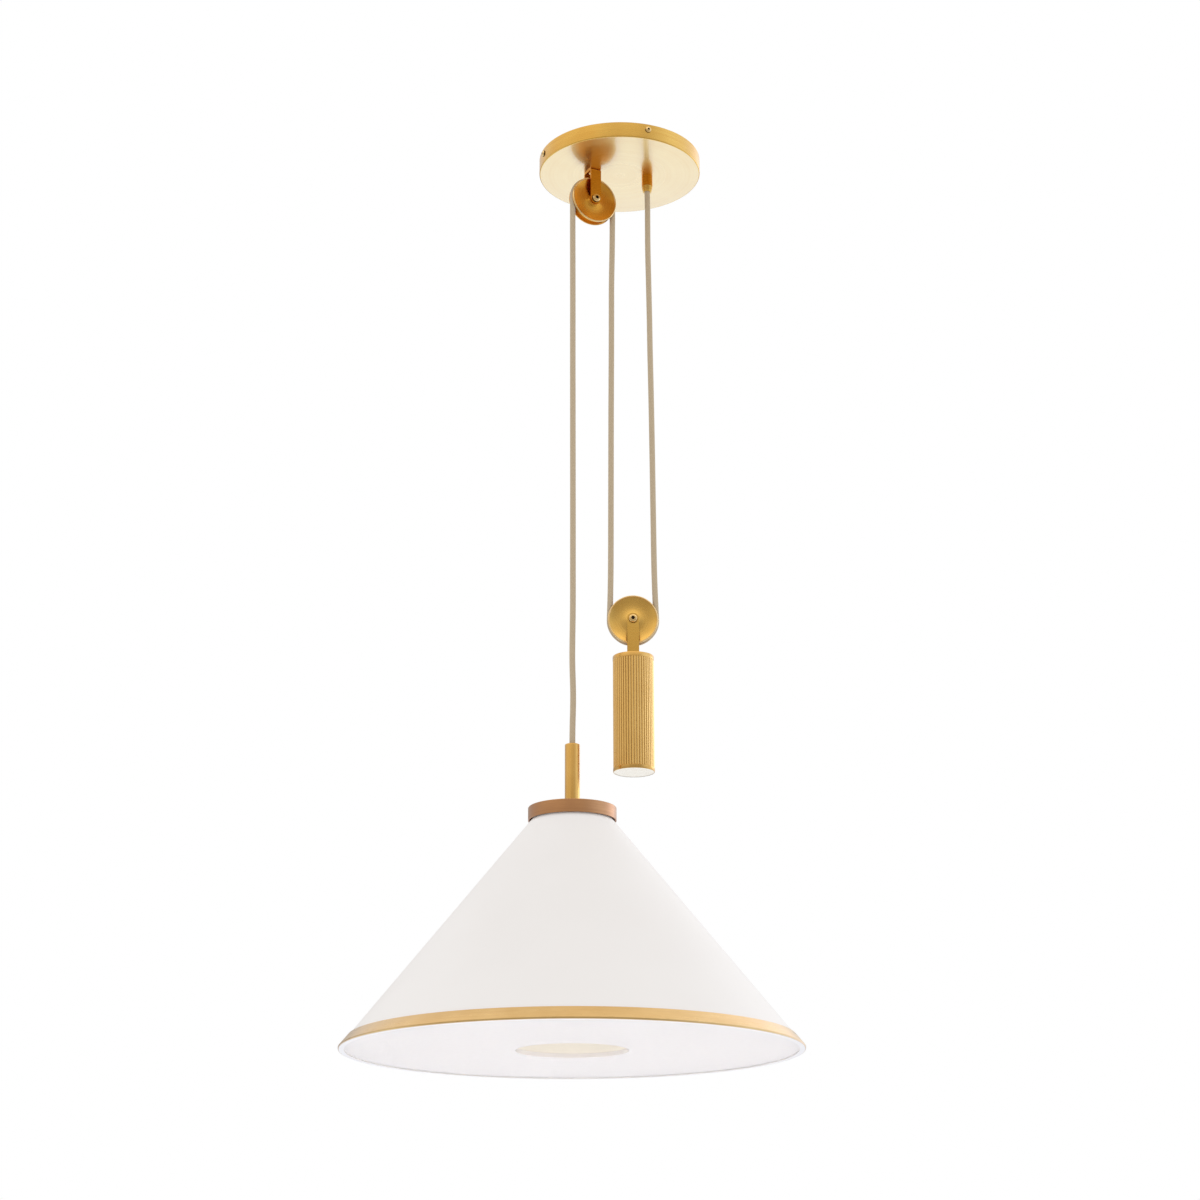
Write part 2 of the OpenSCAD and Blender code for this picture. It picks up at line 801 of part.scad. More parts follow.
module weight_screw() {
    color(pale_brass) at_weight(weight_top_z + strap_t)
        button_screw(m5, strap_t + top_band_h + spigot_h + 9);
}

// ---- Lamp ----

module stem() {
    shoulder = 1;
    collar_w = 0.8;
    top_t = 3;
    bore_r = stem_r - stem_wall;
    line_z = cap_top_z + 4.6;
    line_w = 0.5;
    line_d = 0.3;
    color(brass) at_lamp() rotate_extrude() polygon([
        [cord_r + fit_gap, stem_top_z], [cord_r + collar_w, stem_top_z],
        [cord_r + collar_w + 0.3, stem_top_z - 0.5], [stem_r - shoulder, stem_top_z - 0.6],
        [stem_r - 0.3 * shoulder, stem_top_z - 0.6 - 0.3 * shoulder],
        [stem_r, stem_top_z - 0.6 - shoulder], [stem_r, line_z + line_w],
        [stem_r - line_d, line_z + line_w / 2], [stem_r, line_z], [stem_r, cap_top_z],
        [bore_r, cap_top_z], [bore_r, stem_top_z - top_t], [cord_r + fit_gap, stem_top_z - top_t]
    ]);
}

module stem_bush() {
    color(pale_brass) at_lamp() translate([0, 0, cap_top_z])
        ring(stem_r - stem_wall - fit_gap, nipple_r + fit_gap, stem_bush_h);
}

// The collar clamped on the cord under the stem's top, which carries the lamp
module stem_cord_collar() {
    collar_h = 8;
    color(steel) at_lamp() translate([0, 0, stem_top_z - 3 - collar_h - seat_gap])
        ring(stem_r - stem_wall - 0.4, cord_r + fit_gap, collar_h);
}

module cord_in_stem() {
    cord_straight(lamp_xy, stem_top_z, nipple_bottom_z - 4);
}

module shade_cap() {
    edge_r = 0.7;
    color(bronze) at_lamp() rotate_extrude() polygon(concat(
        [[nipple_r + 0.2, cap_top_z]],
        arc([cap_r - edge_r, cap_top_z - edge_r], edge_r, 90, 0, 5),
        [
            [cap_r, cap_bottom_z], [cap_r - cap_wall, cap_bottom_z],
            [cap_r - cap_wall, cap_top_z - cap_wall], [nipple_r + 0.2, cap_top_z - cap_wall]
        ]
    ));
}

// The white cone, its short neck inside the cap and its flat top, all one spun wall
module shade() {
    hole_r = nipple_r + 0.2;
    corner = neck_corner_r;
    neck_end_z = cap_bottom_z + (cone_neck_r - neck_r) / cone_slope;
    inner_neck_r = neck_r - shade_wall;
    inner_end_z = cap_bottom_z + (cone_neck_r - cone_wall - inner_neck_r) / cone_slope;
    inner_corner = corner - shade_wall;
    color(white_paint) at_lamp() rotate_extrude() polygon(concat(
        [[hole_r, shade_top_z]],
        arc([neck_r - corner, shade_top_z - corner], corner, 90, 0, 6),
        [
            [neck_r, neck_end_z], [cone_r(shade_end_z), shade_end_z],
            [cone_r(shade_end_z) - cone_wall, shade_end_z], [inner_neck_r, inner_end_z]
        ],
        arc([neck_r - corner, shade_top_z - corner], inner_corner, 0, 90, 4),
        [[hole_r, shade_top_z - shade_wall]]
    ));
}

module shade_nipple() {
    color(pale_brass) at_lamp() translate([0, 0, nipple_bottom_z])
        ring(nipple_r, nipple_bore_r, nipple_top_z - nipple_bottom_z);
}

module shade_washer() {
    color(steel) at_lamp() translate([0, 0, shade_top_z - shade_wall - washer_t])
        ring(10, nipple_r + fit_gap, washer_t);
}

module shade_nut() {
    color(steel) at_lamp() translate([0, 0, shade_top_z - shade_wall - washer_t - shade_nut_h])
        hex_ring(shade_nut_af, nipple_r + fit_gap, shade_nut_h);
}

// A folded strip round the shade's edge: its face follows the cone and its lip turns in
module rim_band() {
    top_z = rim_z + band_h;
    edge = 1;
    wall_in = cone_r(shade_end_z) + seat_gap;
    color(brass) at_lamp() rotate_extrude() polygon([
        [cone_r(top_z) + band_proud, top_z],
        [rim_r, rim_z + lip_h],
        [rim_r, rim_z + edge],
        [rim_r - edge, rim_z],
        [rim_r - lip_w, rim_z],
        [rim_r - lip_w, ledge_z],
        [wall_in, ledge_z],
        [wall_in, shade_end_z],
        [cone_r(top_z) + seat_gap, top_z]
    ]);
}

module diffuser() {
    hole_r = diffuser_hole_d / 2;
    collar_wall = 2;
    color(acrylic) at_lamp() translate([0, 0, ledge_z]) rotate_extrude() polygon([
        [hole_r, 0], [diffuser_r, 0], [diffuser_r, diffuser_t],
        [hole_r + collar_wall, diffuser_t], [hole_r + collar_wall, diffuser_collar_h],
        [hole_r, diffuser_collar_h]
    ]);
}

// ---- Lampholder ----

module lampholder_cap() {
    wall = 2;
    boss_r = 9;
    color(phenolic) at_lamp() rotate_extrude() polygon(concat(
        [[nipple_r + fit_gap, holder_top_z], [boss_r, holder_top_z]],
        arc([holder_r - 7, holder_joint_z + 7], 7, 60, 0, 6),
        [
            [holder_r, holder_joint_z], [holder_r - wall, holder_joint_z],
            [holder_r - wall, holder_joint_z + 6], [boss_r, holder_top_z - 3],
            [boss_r, holder_top_z - 8], [nipple_r + fit_gap, holder_top_z - 8]
        ]
    ));
}

module lampholder_skirt() {
    bore_r = shell_r + shell_wall + seat_gap;
    mouth_r = holder_r - 2;
    color(phenolic) at_lamp() rotate_extrude() polygon([
        [2, holder_joint_z], [holder_r, holder_joint_z], [holder_r, holder_joint_z - 10],
        [mouth_r, holder_joint_z - 12], [mouth_r, holder_mouth_z], [bore_r, holder_mouth_z],
        [bore_r, holder_joint_z - holder_web_t], [2, holder_joint_z - holder_web_t]
    ]);
}

module screw_shell() {
    color(pale_brass) at_lamp() translate([0, 0, shell_mouth_z])
        ring(shell_r + shell_wall, shell_r, shell_l);
}

module centre_contact() {
    web_z = holder_joint_z - holder_web_t;
    color(pale_brass) at_lamp() {
        translate([0, 0, web_z - 1.5]) cylinder(r = 4, h = 1.5);
        translate([0, 0, web_z - 0.5]) cylinder(r = 1.9, h = 3);
    }
}

mounting_plate();
canopy_shell();
canopy_side_screws();
terminal_block();
terminal_screws();
block_screw();
earth_screw();
lead_wires();
cord_grip_body();
cord_grip_cap();
cord_grip_locknut();
cord_in_grip();
upper_bracket();
upper_bracket_screw();
upper_bracket_nut();
upper_axle_bolt();
upper_axle_nut();
upper_axle_spacers();
cord_upper_wrap();
cord_fixed_strand();
cord_middle_strand();
cord_lamp_strand();
upper_wheel();
upper_wheel_bush();
cord_lower_loop();
lower_wheel();
lower_wheel_bush();
lower_bracket();
lower_axle_bolt();
lower_axle_nut();
lower_axle_spacers();
weight_top_cap();
weight_sleeve();
weight_core();
weight_bottom_cap();
weight_screw();
stem();
stem_bush();
stem_cord_collar();
cord_in_stem();
shade_cap();
shade();
shade_nipple();
shade_washer();
shade_nut();
rim_band();
diffuser();
lampholder_cap();
lampholder_skirt();
screw_shell();
centre_contact();
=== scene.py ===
"""The looks of a rise and fall pendant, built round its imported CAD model.

Sizes in the classes are in millimetres and match the CAD source; MM turns them to Blender's
metres. The origin is the centre of the ceiling face, +Z is up and the camera looks along +Y.
"""

import logging
import math
from collections.abc import Callable
from dataclasses import dataclass
from enum import Enum
from typing import ClassVar

import bpy
import numpy as np
from mathutils import Matrix, Vector


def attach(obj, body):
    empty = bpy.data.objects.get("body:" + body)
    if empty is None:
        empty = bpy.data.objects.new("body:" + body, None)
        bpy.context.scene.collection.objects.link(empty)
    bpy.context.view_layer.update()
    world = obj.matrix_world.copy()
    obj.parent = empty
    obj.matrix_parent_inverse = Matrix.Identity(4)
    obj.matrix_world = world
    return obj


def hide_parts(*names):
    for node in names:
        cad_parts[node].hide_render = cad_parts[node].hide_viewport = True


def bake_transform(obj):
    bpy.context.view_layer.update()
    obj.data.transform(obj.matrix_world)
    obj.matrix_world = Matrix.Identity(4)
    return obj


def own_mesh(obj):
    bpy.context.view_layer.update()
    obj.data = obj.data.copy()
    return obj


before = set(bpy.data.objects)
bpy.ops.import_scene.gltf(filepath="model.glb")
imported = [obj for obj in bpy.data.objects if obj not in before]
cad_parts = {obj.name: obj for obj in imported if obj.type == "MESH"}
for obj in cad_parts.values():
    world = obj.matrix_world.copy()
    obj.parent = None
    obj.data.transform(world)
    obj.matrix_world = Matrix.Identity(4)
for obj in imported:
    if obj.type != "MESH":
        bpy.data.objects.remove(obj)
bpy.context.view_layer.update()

logging.basicConfig(level=logging.INFO, format="%(message)s")
LOG = logging.getLogger("pendant")

MM = 0.001
Point = tuple[float, float, float]
Profile = list[tuple[float, float]]
Route = list[Vector]
Wave = tuple[tuple[float, float], ...]
Piece = bpy.types.Object
Tree = bpy.types.NodeTree
Node = bpy.types.Node
Socket = bpy.types.NodeSocket
Inputs = dict[str | int, object]


# ---- Materials ----

WHITE = (1.0, 1.0, 1.0, 1.0)
# Noise seldom leaves this band, so the band is what gets stretched to a pattern's two ends.
NOISE_BAND = {"From Min": 0.3, "From Max": 0.7}


def linear(hex_colour: str) -> tuple[float, float, float, float]:
    """Turns an sRGB hex colour to linear light.

    Args:
        hex_colour: The colour as "#RRGGBB".

    Returns:
        Red, green, blue and an alpha of 1.
    """
    channels = [int(hex_colour[i:i + 2], 16) / 255 for i in (1, 3, 5)]
    bright = [c / 12.92 if c <= 0.04045 else ((c + 0.055) / 1.055) ** 2.4 for c in channels]
    return (*bright, 1.0)


def feed(tree: Tree, node: Node, inputs: Inputs) -> None:
    """Sets or links a node's sockets. A Mix node's are 0 for the factor, 2 and 3 or 6 and 7.

    Args:
        tree: The node's tree.
        node: The node.
        inputs: Socket name or number to a value, to an output socket, or to a node whose
            first output feeds it.
    """
    for socket, value in inputs.items():
        if isinstance(value, Node):
            value = value.outputs[0]
        if isinstance(value, Socket):
            tree.links.new(value, node.inputs[socket])
        else:
            node.inputs[socket].default_value = value


def add_node(tree: Tree, kind: str, inputs: Inputs | None = None, **settings: object) -> Node:
    """Adds a node with its settings, socket values and links.

    Args:
        tree: The node tree to add to.
        kind: The node's type after "ShaderNode", such as "Math".
        inputs: What its sockets hold, as in feed.
        settings: Attributes of the node, such as operation="MULTIPLY".

    Returns:
        The new node.
    """
    node = tree.nodes.new("ShaderNode" + kind)
    for name, value in settings.items():
        setattr(node, name, value)
    feed(tree, node, inputs or {})
    return node


class Lay(Enum):
    """Which way a metal's fine lines run, as the scale of the noise along X, Y and Z."""

    LEVEL = (0.02, 0.02, 1.0)
    UPRIGHT = (1.0, 1.0, 0.02)
    FINE_GRAIN = (1.0, 1.0, 1.0)


@dataclass(frozen=True)
class Finish:
    """A surface finish, named for the real material."""

    name: str
    colour: str

    def material(self) -> bpy.types.Material:
        """Makes the finish's material the first time, and finds it again after that.

        Returns:
            The material.
        """
        made = bpy.data.materials.get(self.name)
        if made:
            return made
        made = bpy.data.materials.new(self.name)
        made.use_nodes = True
        made.diffuse_color = linear(self.colour)
        tree = made.node_tree
        tree.nodes.clear()
        shader = add_node(tree, "BsdfPrincipled", {"Base Color": linear(self.colour)})
        add_node(tree, "OutputMaterial", {"Surface": shader})
        self.dress(tree, shader)
        return made

    def dress(self, tree: Tree, shader: Node) -> None:
        """Adds the finish's pattern and gloss.

        Args:
            tree: The material's node tree.
            shader: Its Principled shader.
        """
        raise NotImplementedError

    def vary(self, tree: Tree, shader: Node, factor: Node, other: str) -> None:
        """Lets the base colour drift towards another one.

        Args:
            tree: The material's node tree.
            shader: Its Principled shader.
            factor: How far to go, from 0 to 1.
            other: The other colour, in hex.
        """
        ends = {0: factor, 6: linear(self.colour), 7: linear(other)}
        mix = add_node(tree, "Mix", ends, data_type="RGBA")
        feed(tree, shader, {"Base Color": mix.outputs[2]})


@dataclass(frozen=True)
class Metal(Finish):
    """Worked metal under clear lacquer: fine tool lines and a slow drift of tone."""

    toned: str = "#CB9238"
    roughness: float = 0.27
    gloss_spread: tuple[float, float] = (-0.04, 0.05)
    coat: float = 0.25
    coat_roughness: float = 0.35
    coat_ior: float = 1.5
    # Real tool lines are finer than 0.1 mm. They are drawn this coarse so that they show.
    line_mm: float = 1.1
    bump_mm: float = 0.012
    bump_strength: float = 0.6
    streak: float = 0.35
    drift: float = 0.4
    drift_mm: float = 36.0
    stretch: float = 0.0

    def groove_way(self, tree: Tree, coords: Socket) -> Node:
        """Returns the way in which the tool lines run, across which light spreads."""
        raise NotImplementedError

    def line_space(self, tree: Tree, coords: Socket) -> Node:
        """Returns the coordinates in which the tool lines are fine and even."""
        raise NotImplementedError

    def dress(self, tree: Tree, shader: Node) -> None:
        """Adds the tool lines in bump, gloss and tone, and a soft drift of tone.

        Args:
            tree: The material's node tree.
            shader: Its Principled shader.
        """
        coords = add_node(tree, "TexCoord").outputs["Object"]
        lines, drift = (
            add_node(tree, "TexNoise", {"Vector": space, "Scale": scale, "Detail": detail})
            for space, scale, detail in (
                (self.line_space(tree, coords), 1.0, 3.0),
                (coords, 1 / (self.drift_mm * MM), 2.0),
            )
        )
        dull, keen = (self.roughness + spread for spread in self.gloss_spread)
        streak, tone, gloss = (
            add_node(tree, "MapRange", {"Value": noise, **NOISE_BAND, "To Min": low, "To Max": high})
            for noise, low, high in (
                (lines, 0.0, self.streak), (drift, 0.0, self.drift), (lines, dull, keen)
            )
        )
        both = add_node(tree, "Math", {0: tone, 1: streak}, operation="ADD", use_clamp=True)
        self.vary(tree, shader, both, self.toned)
        relief = {"Height": lines, "Distance": self.bump_mm * MM, "Strength": self.bump_strength}
        feed(tree, shader, {
            "Metallic": 1.0,
            "Coat Weight": self.coat,
            "Coat Roughness": self.coat_roughness,
            "Coat IOR": self.coat_ior,
            "Roughness": gloss,
            "Normal": add_node(tree, "Bump", relief),
        })
        if self.stretch:
            feed(tree, shader, {
                "Anisotropic": self.stretch,
                "Anisotropic Rotation": 0.25,
                "Tangent": self.groove_way(tree, coords),
            })


@dataclass(frozen=True)
class BrushedMetal(Metal):
    """Metal brushed one way."""

    # The brush's way on a face that looks straight up or down, where no level way stands out.
    FLAT_WAY: ClassVar[Point] = (0.001, 0.0, 0.0)
    lay: Lay = Lay.LEVEL

    def groove_way(self, tree: Tree, coords: Socket) -> Node:
        """Returns the upright, or the level way along the surface.

        Args:
            tree: The material's node tree.
            coords: The Object coordinates, which it doesn't need.

        Returns:
            A node whose first output is that way.
        """
        upright = add_node(tree, "CombineXYZ", {"Z": 1.0})
        if self.lay is Lay.UPRIGHT:
            return upright
        normal = add_node(tree, "NewGeometry").outputs["Normal"]
        level = add_node(tree, "VectorMath", {0: upright, 1: normal}, operation="CROSS_PRODUCT")
        return add_node(tree, "VectorMath", {0: level, 1: self.FLAT_WAY}, operation="ADD")

    def line_space(self, tree: Tree, coords: Socket) -> Node:
        """Returns the coordinates stretched along the brush's way."""
        scale = Vector(self.lay.value) / (self.line_mm * MM)
        return add_node(tree, "Mapping", {"Vector": coords, "Scale": scale})


@dataclass(frozen=True)
class TurnedMetal(Metal):
    """Metal faced on a lathe: rings about an axis, which catch the light as fans."""

    centre: Point = (0.0, 0.0, 0.0)
    axis: Point = (0.0, 0.0, 1.0)

    def offset(self, tree: Tree, coords: Socket) -> Node:
        """Returns the way from the centre."""
        ends = {0: coords, 1: Vector(self.centre) * MM}
        return add_node(tree, "VectorMath", ends, operation="SUBTRACT")

    def groove_way(self, tree: Tree, coords: Socket) -> Node:
        """Returns the way round the axis."""
        pair = {0: self.offset(tree, coords), 1: Vector(self.axis)}
        return add_node(tree, "VectorMath", pair, operation="CROSS_PRODUCT")

    def line_space(self, tree: Tree, coords: Socket) -> Node:
        """Measures the distance from the axis, and the height along it.

        Args:
            tree: The material's node tree.
            coords: The Object coordinates.

        Returns:
            A node whose first output holds both, in line widths.
        """
        way = {0: self.groove_way(tree, coords)}
        reach = add_node(tree, "VectorMath", way, operation="LENGTH").outputs["Value"]
        pair = {0: self.offset(tree, coords), 1: Vector(self.axis)}
        height = add_node(tree, "VectorMath", pair, operation="DOT_PRODUCT").outputs["Value"]
        both = add_node(tree, "CombineXYZ", {"X": reach, "Y": height})
        scaled = {0: both, "Scale": 1 / (self.line_mm * MM)}
        return add_node(tree, "VectorMath", scaled, operation="SCALE")


@dataclass(frozen=True)
class SprayedPaint(Finish):
    """Sprayed paint or moulded plastic: even colour with the faint orange peel of its skin."""

    shadow: str = "#DEDBD4"
    roughness: float = 0.42
    gloss_spread: tuple[float, float] = (-0.03, 0.05)
    peel_mm: float = 2.2
    bump_mm: float = 0.02
    bump_strength: float = 0.5
    drift: float = 0.3
    drift_per_m: float = 6.0
    specular: float = 0.35
    transmission: float = 0.0

    def dress(self, tree: Tree, shader: Node) -> None:
        """Adds orange peel and a barely seen drift of tone.

        Args:
            tree: The material's node tree.
            shader: Its Principled shader.
        """
        coords = add_node(tree, "TexCoord").outputs["Object"]
        peel, drift = (
            add_node(tree, "TexNoise", {"Vector": coords, "Scale": scale, "Detail": 2.0})
            for scale in (1 / (self.peel_mm * MM), self.drift_per_m)
        )
        dull, keen = (self.roughness + spread for spread in self.gloss_spread)
        tones = {"Value": drift, "From Min": 0.4, "From Max": 0.8, "To Max": self.drift}
        glosses = {"Value": peel, **NOISE_BAND, "To Min": dull, "To Max": keen}
        relief = {"Height": peel, "Distance": self.bump_mm * MM, "Strength": self.bump_strength}
        self.vary(tree, shader, add_node(tree, "MapRange", tones), self.shadow)
        feed(tree, shader, {
            "Specular IOR Level": self.specular,
            "Transmission Weight": self.transmission,
            "Roughness": add_node(tree, "MapRange", glosses),
            "Normal": add_node(tree, "Bump", relief),
        })


@dataclass(frozen=True)
class BraidedCotton(Finish):
    """A braided cotton sleeve: two sets of yarns crossing, dull and slightly furry."""

    valley: str = "#958164"
    pale: str = "#C9BAA1"
    # Real yarns are finer. They are drawn this coarse so that they show.
    yarns: int = 12
    fluff: float = 0.5
    fluff_mm: float = 0.5
    bump_mm: float = 0.08

    def dress(self, tree: Tree, shader: Node) -> None:
        """Adds the crossing yarns from the cord's own UV map, and fluff.

        Args:
            tree: The material's node tree.
            shader: Its Principled shader.
        """
        around, along, _ = add_node(
            tree, "SeparateXYZ", {"Vector": add_node(tree, "UVMap", uv_map="UVMap")}
        ).outputs
        crowns = []
        for turn_way in (1.0, -1.0):
            wave = add_node(
                tree, "Math", {0: along, 1: turn_way, 2: around}, operation="MULTIPLY_ADD"
            )
            yarns = {0: wave, 1: math.pi * self.yarns}
            wave = add_node(tree, "Math", yarns, operation="MULTIPLY")
            for step in ("SINE", "ABSOLUTE"):
                wave = add_node(tree, "Math", {0: wave}, operation=step)
            crowns.append(wave)
        crown = add_node(tree, "Math", {0: crowns[0], 1: crowns[1]}, operation="MULTIPLY")
        coords = add_node(tree, "TexCoord").outputs["Object"]
        fine = {"Vector": coords, "Scale": 1 / (self.fluff_mm * MM), "Detail": 4.0}
        furry = {0: add_node(tree, "TexNoise", fine), 1: self.fluff, 2: crown}
        height = add_node(tree, "Math", furry, operation="MULTIPLY_ADD")
        # Painted shade and light: darker down between the yarns, paler on their crowns; the fluff
        # noise adds random tone.
        ramp = add_node(tree, "ValToRGB", {"Fac": height})
        stops = ramp.color_ramp.elements
        stops.new(0.6)
        hues = (self.valley, self.colour, self.pale)
        for stop, place, hue in zip(stops, (0.2, 0.6, 1.0), hues):
            stop.position, stop.color = place, linear(hue)
        relief = {"Height": height, "Distance": self.bump_mm * MM, "Strength": 0.7}
        feed(tree, shader, {
            "Roughness": 0.9,
            "Specular IOR Level": 0.2,
            "Sheen Weight": 0.3,
            "Sheen Roughness": 0.5,
            "Base Color": ramp,
            "Normal": add_node(tree, "Bump", relief),
        })


@dataclass(frozen=True)
class StudioSweep(Finish):
    """Matt white backdrop paint that shows shadows; metal finds it cool and bright behind."""

    cool: str = "#C7D9F9"
    front: float = 0.5
    back: float = 1.79
    spread: float = 1.04
    through: float = 2.7
    # Where along Y, in metres, mirrored light starts to find it bright and is done, and
    # where that ends and starts to end.
    rise_m: tuple[float, float] = (-6.0, 4.8)
    fade_m: tuple[float, float] = (36.0, 20.0)

    def dress(self, tree: Tree, shader: Node) -> None:
        """Lets light that isn't on its way to the camera find a bright, even sweep.

        Args:
            tree: The material's node tree.
            shader: Its Principled shader, which the camera sees.
        """
        coords = add_node(tree, "TexCoord").outputs["Object"]
        depth = add_node(tree, "SeparateXYZ", {"Vector": coords}).outputs["Y"]
        rise, fade = (
            add_node(tree, "MapRange", {"Value": depth, "From Min": start, "From Max": end})
            for start, end in (self.rise_m, self.fade_m)
        )
        share = add_node(tree, "Math", {0: rise, 1: fade}, operation="MULTIPLY")
        path = add_node(tree, "LightPath").outputs
        through = path["Is Transmission Ray"]
        rays = {0: path["Is Glossy Ray"], 1: through}
        mirrored = add_node(tree, "Math", rays, operation="SUBTRACT", use_clamp=True)
        level = add_node(tree, "Mix", {0: share, 2: self.front, 3: self.back})
        strength = add_node(tree, "Mix", {0: mirrored, 2: self.spread, 3: level})
        strength = add_node(tree, "Mix", {0: through, 2: strength, 3: self.through})
        seen = add_node(tree, "Math", {0: share, 1: mirrored}, operation="MULTIPLY")
        tints = {0: seen, 6: WHITE, 7: linear(self.cool)}
        tint = add_node(tree, "Mix", tints, data_type="RGBA").outputs[2]
        lit = add_node(tree, "Emission", {"Color": tint, "Strength": strength})
        both = add_node(tree, "MixShader", {0: path["Is Camera Ray"], 1: lit, 2: shader})
        feed(tree, shader, {"Roughness": 0.9, "Specular IOR Level": 0.1})
        feed(tree, tree.get_output_node("ALL"), {"Surface": both})


# Satin brass, brushed level and lacquered: soft streaks, and a highlight drawn up and down.
SATIN_BRASS = BrushedMetal("brass_satin_lacquered", "#DFB054", stretch=0.5)
# Brass painted a fuller orange gold than the satin brass, under thin lacquer: a painted reflection
# of brass mirrored in brass.
MIRROR_ORANGE_BRASS = BrushedMetal(
    "brass_painted_mirror_orange", "#E09C2C", toned="#C67C16", coat=0.08, stretch=0.4
)
# Drawn tube: fine lines along its length, and bright edges either side of a deep middle.
STEM_BRASS = BrushedMetal(
    "brass_drawn_tube", "#E5B45C", lay=Lay.UPRIGHT, line_mm=1.6, bump_mm=0.02,
    roughness=0.28, coat=0.7, stretch=0.5,
)
# Milled and polished reeds under clear lacquer: clean bright ridges with no streaks.
REEDED_BRASS = BrushedMetal(
    "brass_polished_reeded", "#ECBA60", toned="#E0A94E", roughness=0.26, coat=1.0,
    coat_roughness=0.3, lay=Lay.UPRIGHT, line_mm=3.0, bump_mm=0.0, streak=0.0,
)
# Between the reeds: the valleys painted dull brown lines as painted shade.
REED_VALLEY = BrushedMetal(
    "brass_reed_valley_painted_shade", "#B08038", toned="#94692A", roughness=0.4, lay=Lay.UPRIGHT,
    line_mm=3.0, bump_mm=0.0, streak=0.0,
)
# Pale brass strip, brushed along its length: a calm even gold with faint level lines.
BAND_BRASS = BrushedMetal(
    "brass_brushed_band", "#E2BA78", toned="#CDA05A", roughness=0.3, coat=0.7, stretch=0.5
)
# Brass turned on a lathe: a soft sheen on the weight's two plain ends.
END_BRASS = BrushedMetal(
    "brass_turned_ends", "#DCAC5E", toned="#C99648", coat=0.2, stretch=0.3
)
# Nearly polished screws and nuts: small heads with sharp little glints.
BOLT_BRASS = BrushedMetal(
    "brass_bolts", "#EBC786", toned="#CFA25A", roughness=0.18, lay=Lay.FINE_GRAIN, line_mm=1.2,
    bump_mm=0.004,
)
# The wheels' rims, painted paler than the wheel as a painted highlight, and glossier: a thin pale
# line round each wheel.
RIM_BRASS = BrushedMetal(
    "brass_rim_painted_highlight", "#F0CD90", toned="#DDB168", roughness=0.2, lay=Lay.FINE_GRAIN,
    line_mm=1.5, bump_mm=0.003,
)
# The canopy's underside, faced on a lathe under thick lacquer, its colour painted paler than the
# side's brass as painted light from the bright floor below; the wheel and the bracket are mirrored
# in it as a blurred orange plume.
CANOPY_FACE = TurnedMetal(
    "brass_turned_face_painted_pale", "#F2CB7E", toned="#EDC070", roughness=0.3, coat=1.0,
    coat_roughness=0.12, coat_ior=1.8, line_mm=2.5, bump_mm=0.008,
)
# The weight's polished underside, its colour painted nearly white as a painted reflection of the
# bright floor.
WEIGHT_FACE = BrushedMetal(
    "brass_polished_face_painted_reflection", "#F5DAAC", toned="#EED09C", roughness=0.18, lay=Lay.FINE_GRAIN,
    line_mm=2.0, bump_mm=0.002,
)
# Bronze, brushed and matt lacquered: brown, with broad dim highlights.
BRONZE = BrushedMetal(
    "bronze_brushed", "#BE8852", toned="#9E6A40", roughness=0.42, coat=0.7,
    coat_roughness=0.45, line_mm=0.9, stretch=0.3,
)
# Zinc-plated steel: a cool mottled grey.
ZINC_STEEL = BrushedMetal(
    "zinc_plated_steel", "#B9BCC0", toned="#8E9196", roughness=0.35, lay=Lay.FINE_GRAIN,
    line_mm=1.5,
)
# Cast iron as it leaves the sand: dark and grainy.
CAST_IRON = BrushedMetal(
    "cast_iron", "#5B5B5E", toned="#3C3C40", roughness=0.6, lay=Lay.FINE_GRAIN, line_mm=1.0
)
# Painted shade in a screw's socket and under the edge of its head: near black, with no glint.
SOCKET_PAINTED_SHADE = SprayedPaint(
    "brass_socket_painted_shade", "#35220F", roughness=0.7, peel_mm=0.6, shadow="#1C1006",
    specular=0.2,
)
# Satin white paint on spun aluminium: even and soft, faintly warm in its shadows.
WHITE_PAINT = SprayedPaint("white_sprayed_aluminium", "#EFEBE8", shadow="#E4DFDB")
# Off-white paint inside the shade, painted cream as a painted warm light: the warm light that the
# diffuser's hole shows.
CREAM_PAINT_AND_WARM_LIGHT = SprayedPaint(
    "cream_inside_painted_warm_light", "#F8F4E9", roughness=0.55, shadow="#F3EEE0"
)
# Cast opal acrylic, satin below: a clean milky white with no highlight.
OPAL_ACRYLIC = SprayedPaint(
    "opal_acrylic", "#FCF8F7", roughness=0.6, peel_mm=6.0, bump_mm=0.002, shadow="#FAF5F4",
    transmission=0.5,
)
# The same sheet's upper face, which lets through nearly all the light that reaches it.
OPAL_INNER = SprayedPaint(
    "opal_acrylic_inner", "#FCFBFC", roughness=0.6, peel_mm=6.0, bump_mm=0.002,
    shadow="#F8F7F9", transmission=0.95,
)
# Moulded nylon: waxy off-white.
NYLON = SprayedPaint("nylon_moulded", "#E8E6DE", roughness=0.5, peel_mm=1.0)
# Moulded phenolic: glossy near black.
PHENOLIC = SprayedPaint(
    "phenolic_moulded", "#26252A", roughness=0.3, peel_mm=1.5, shadow="#1B1A1E", specular=0.5
)
# Extruded PVC on the cord's cores: smooth brown.
BROWN_PVC = SprayedPaint("pvc_brown", "#6B3F22", roughness=0.4, peel_mm=1.0, shadow="#55321B")
# Braided cotton: a dull sand colour, painted paler where a yarn crosses on top as painted light and
# darker between the yarns as painted shade.
COTTON = BraidedCotton("cotton_braid", "#BBA78A")
# Matt backdrop paint: a plain off-white with soft shadows.
SWEEP = StudioSweep("backdrop_matt_paint", "#F4F3F1")


# ---- Making pieces ----

UP, DOWN = 1, -1
# The least share of a face's normal that points up or down on a face that counts as level.
LEVEL_FACE = 0.98
# Slack, in millimetres, in a test of where a vertex lies.
SLACK = 0.01


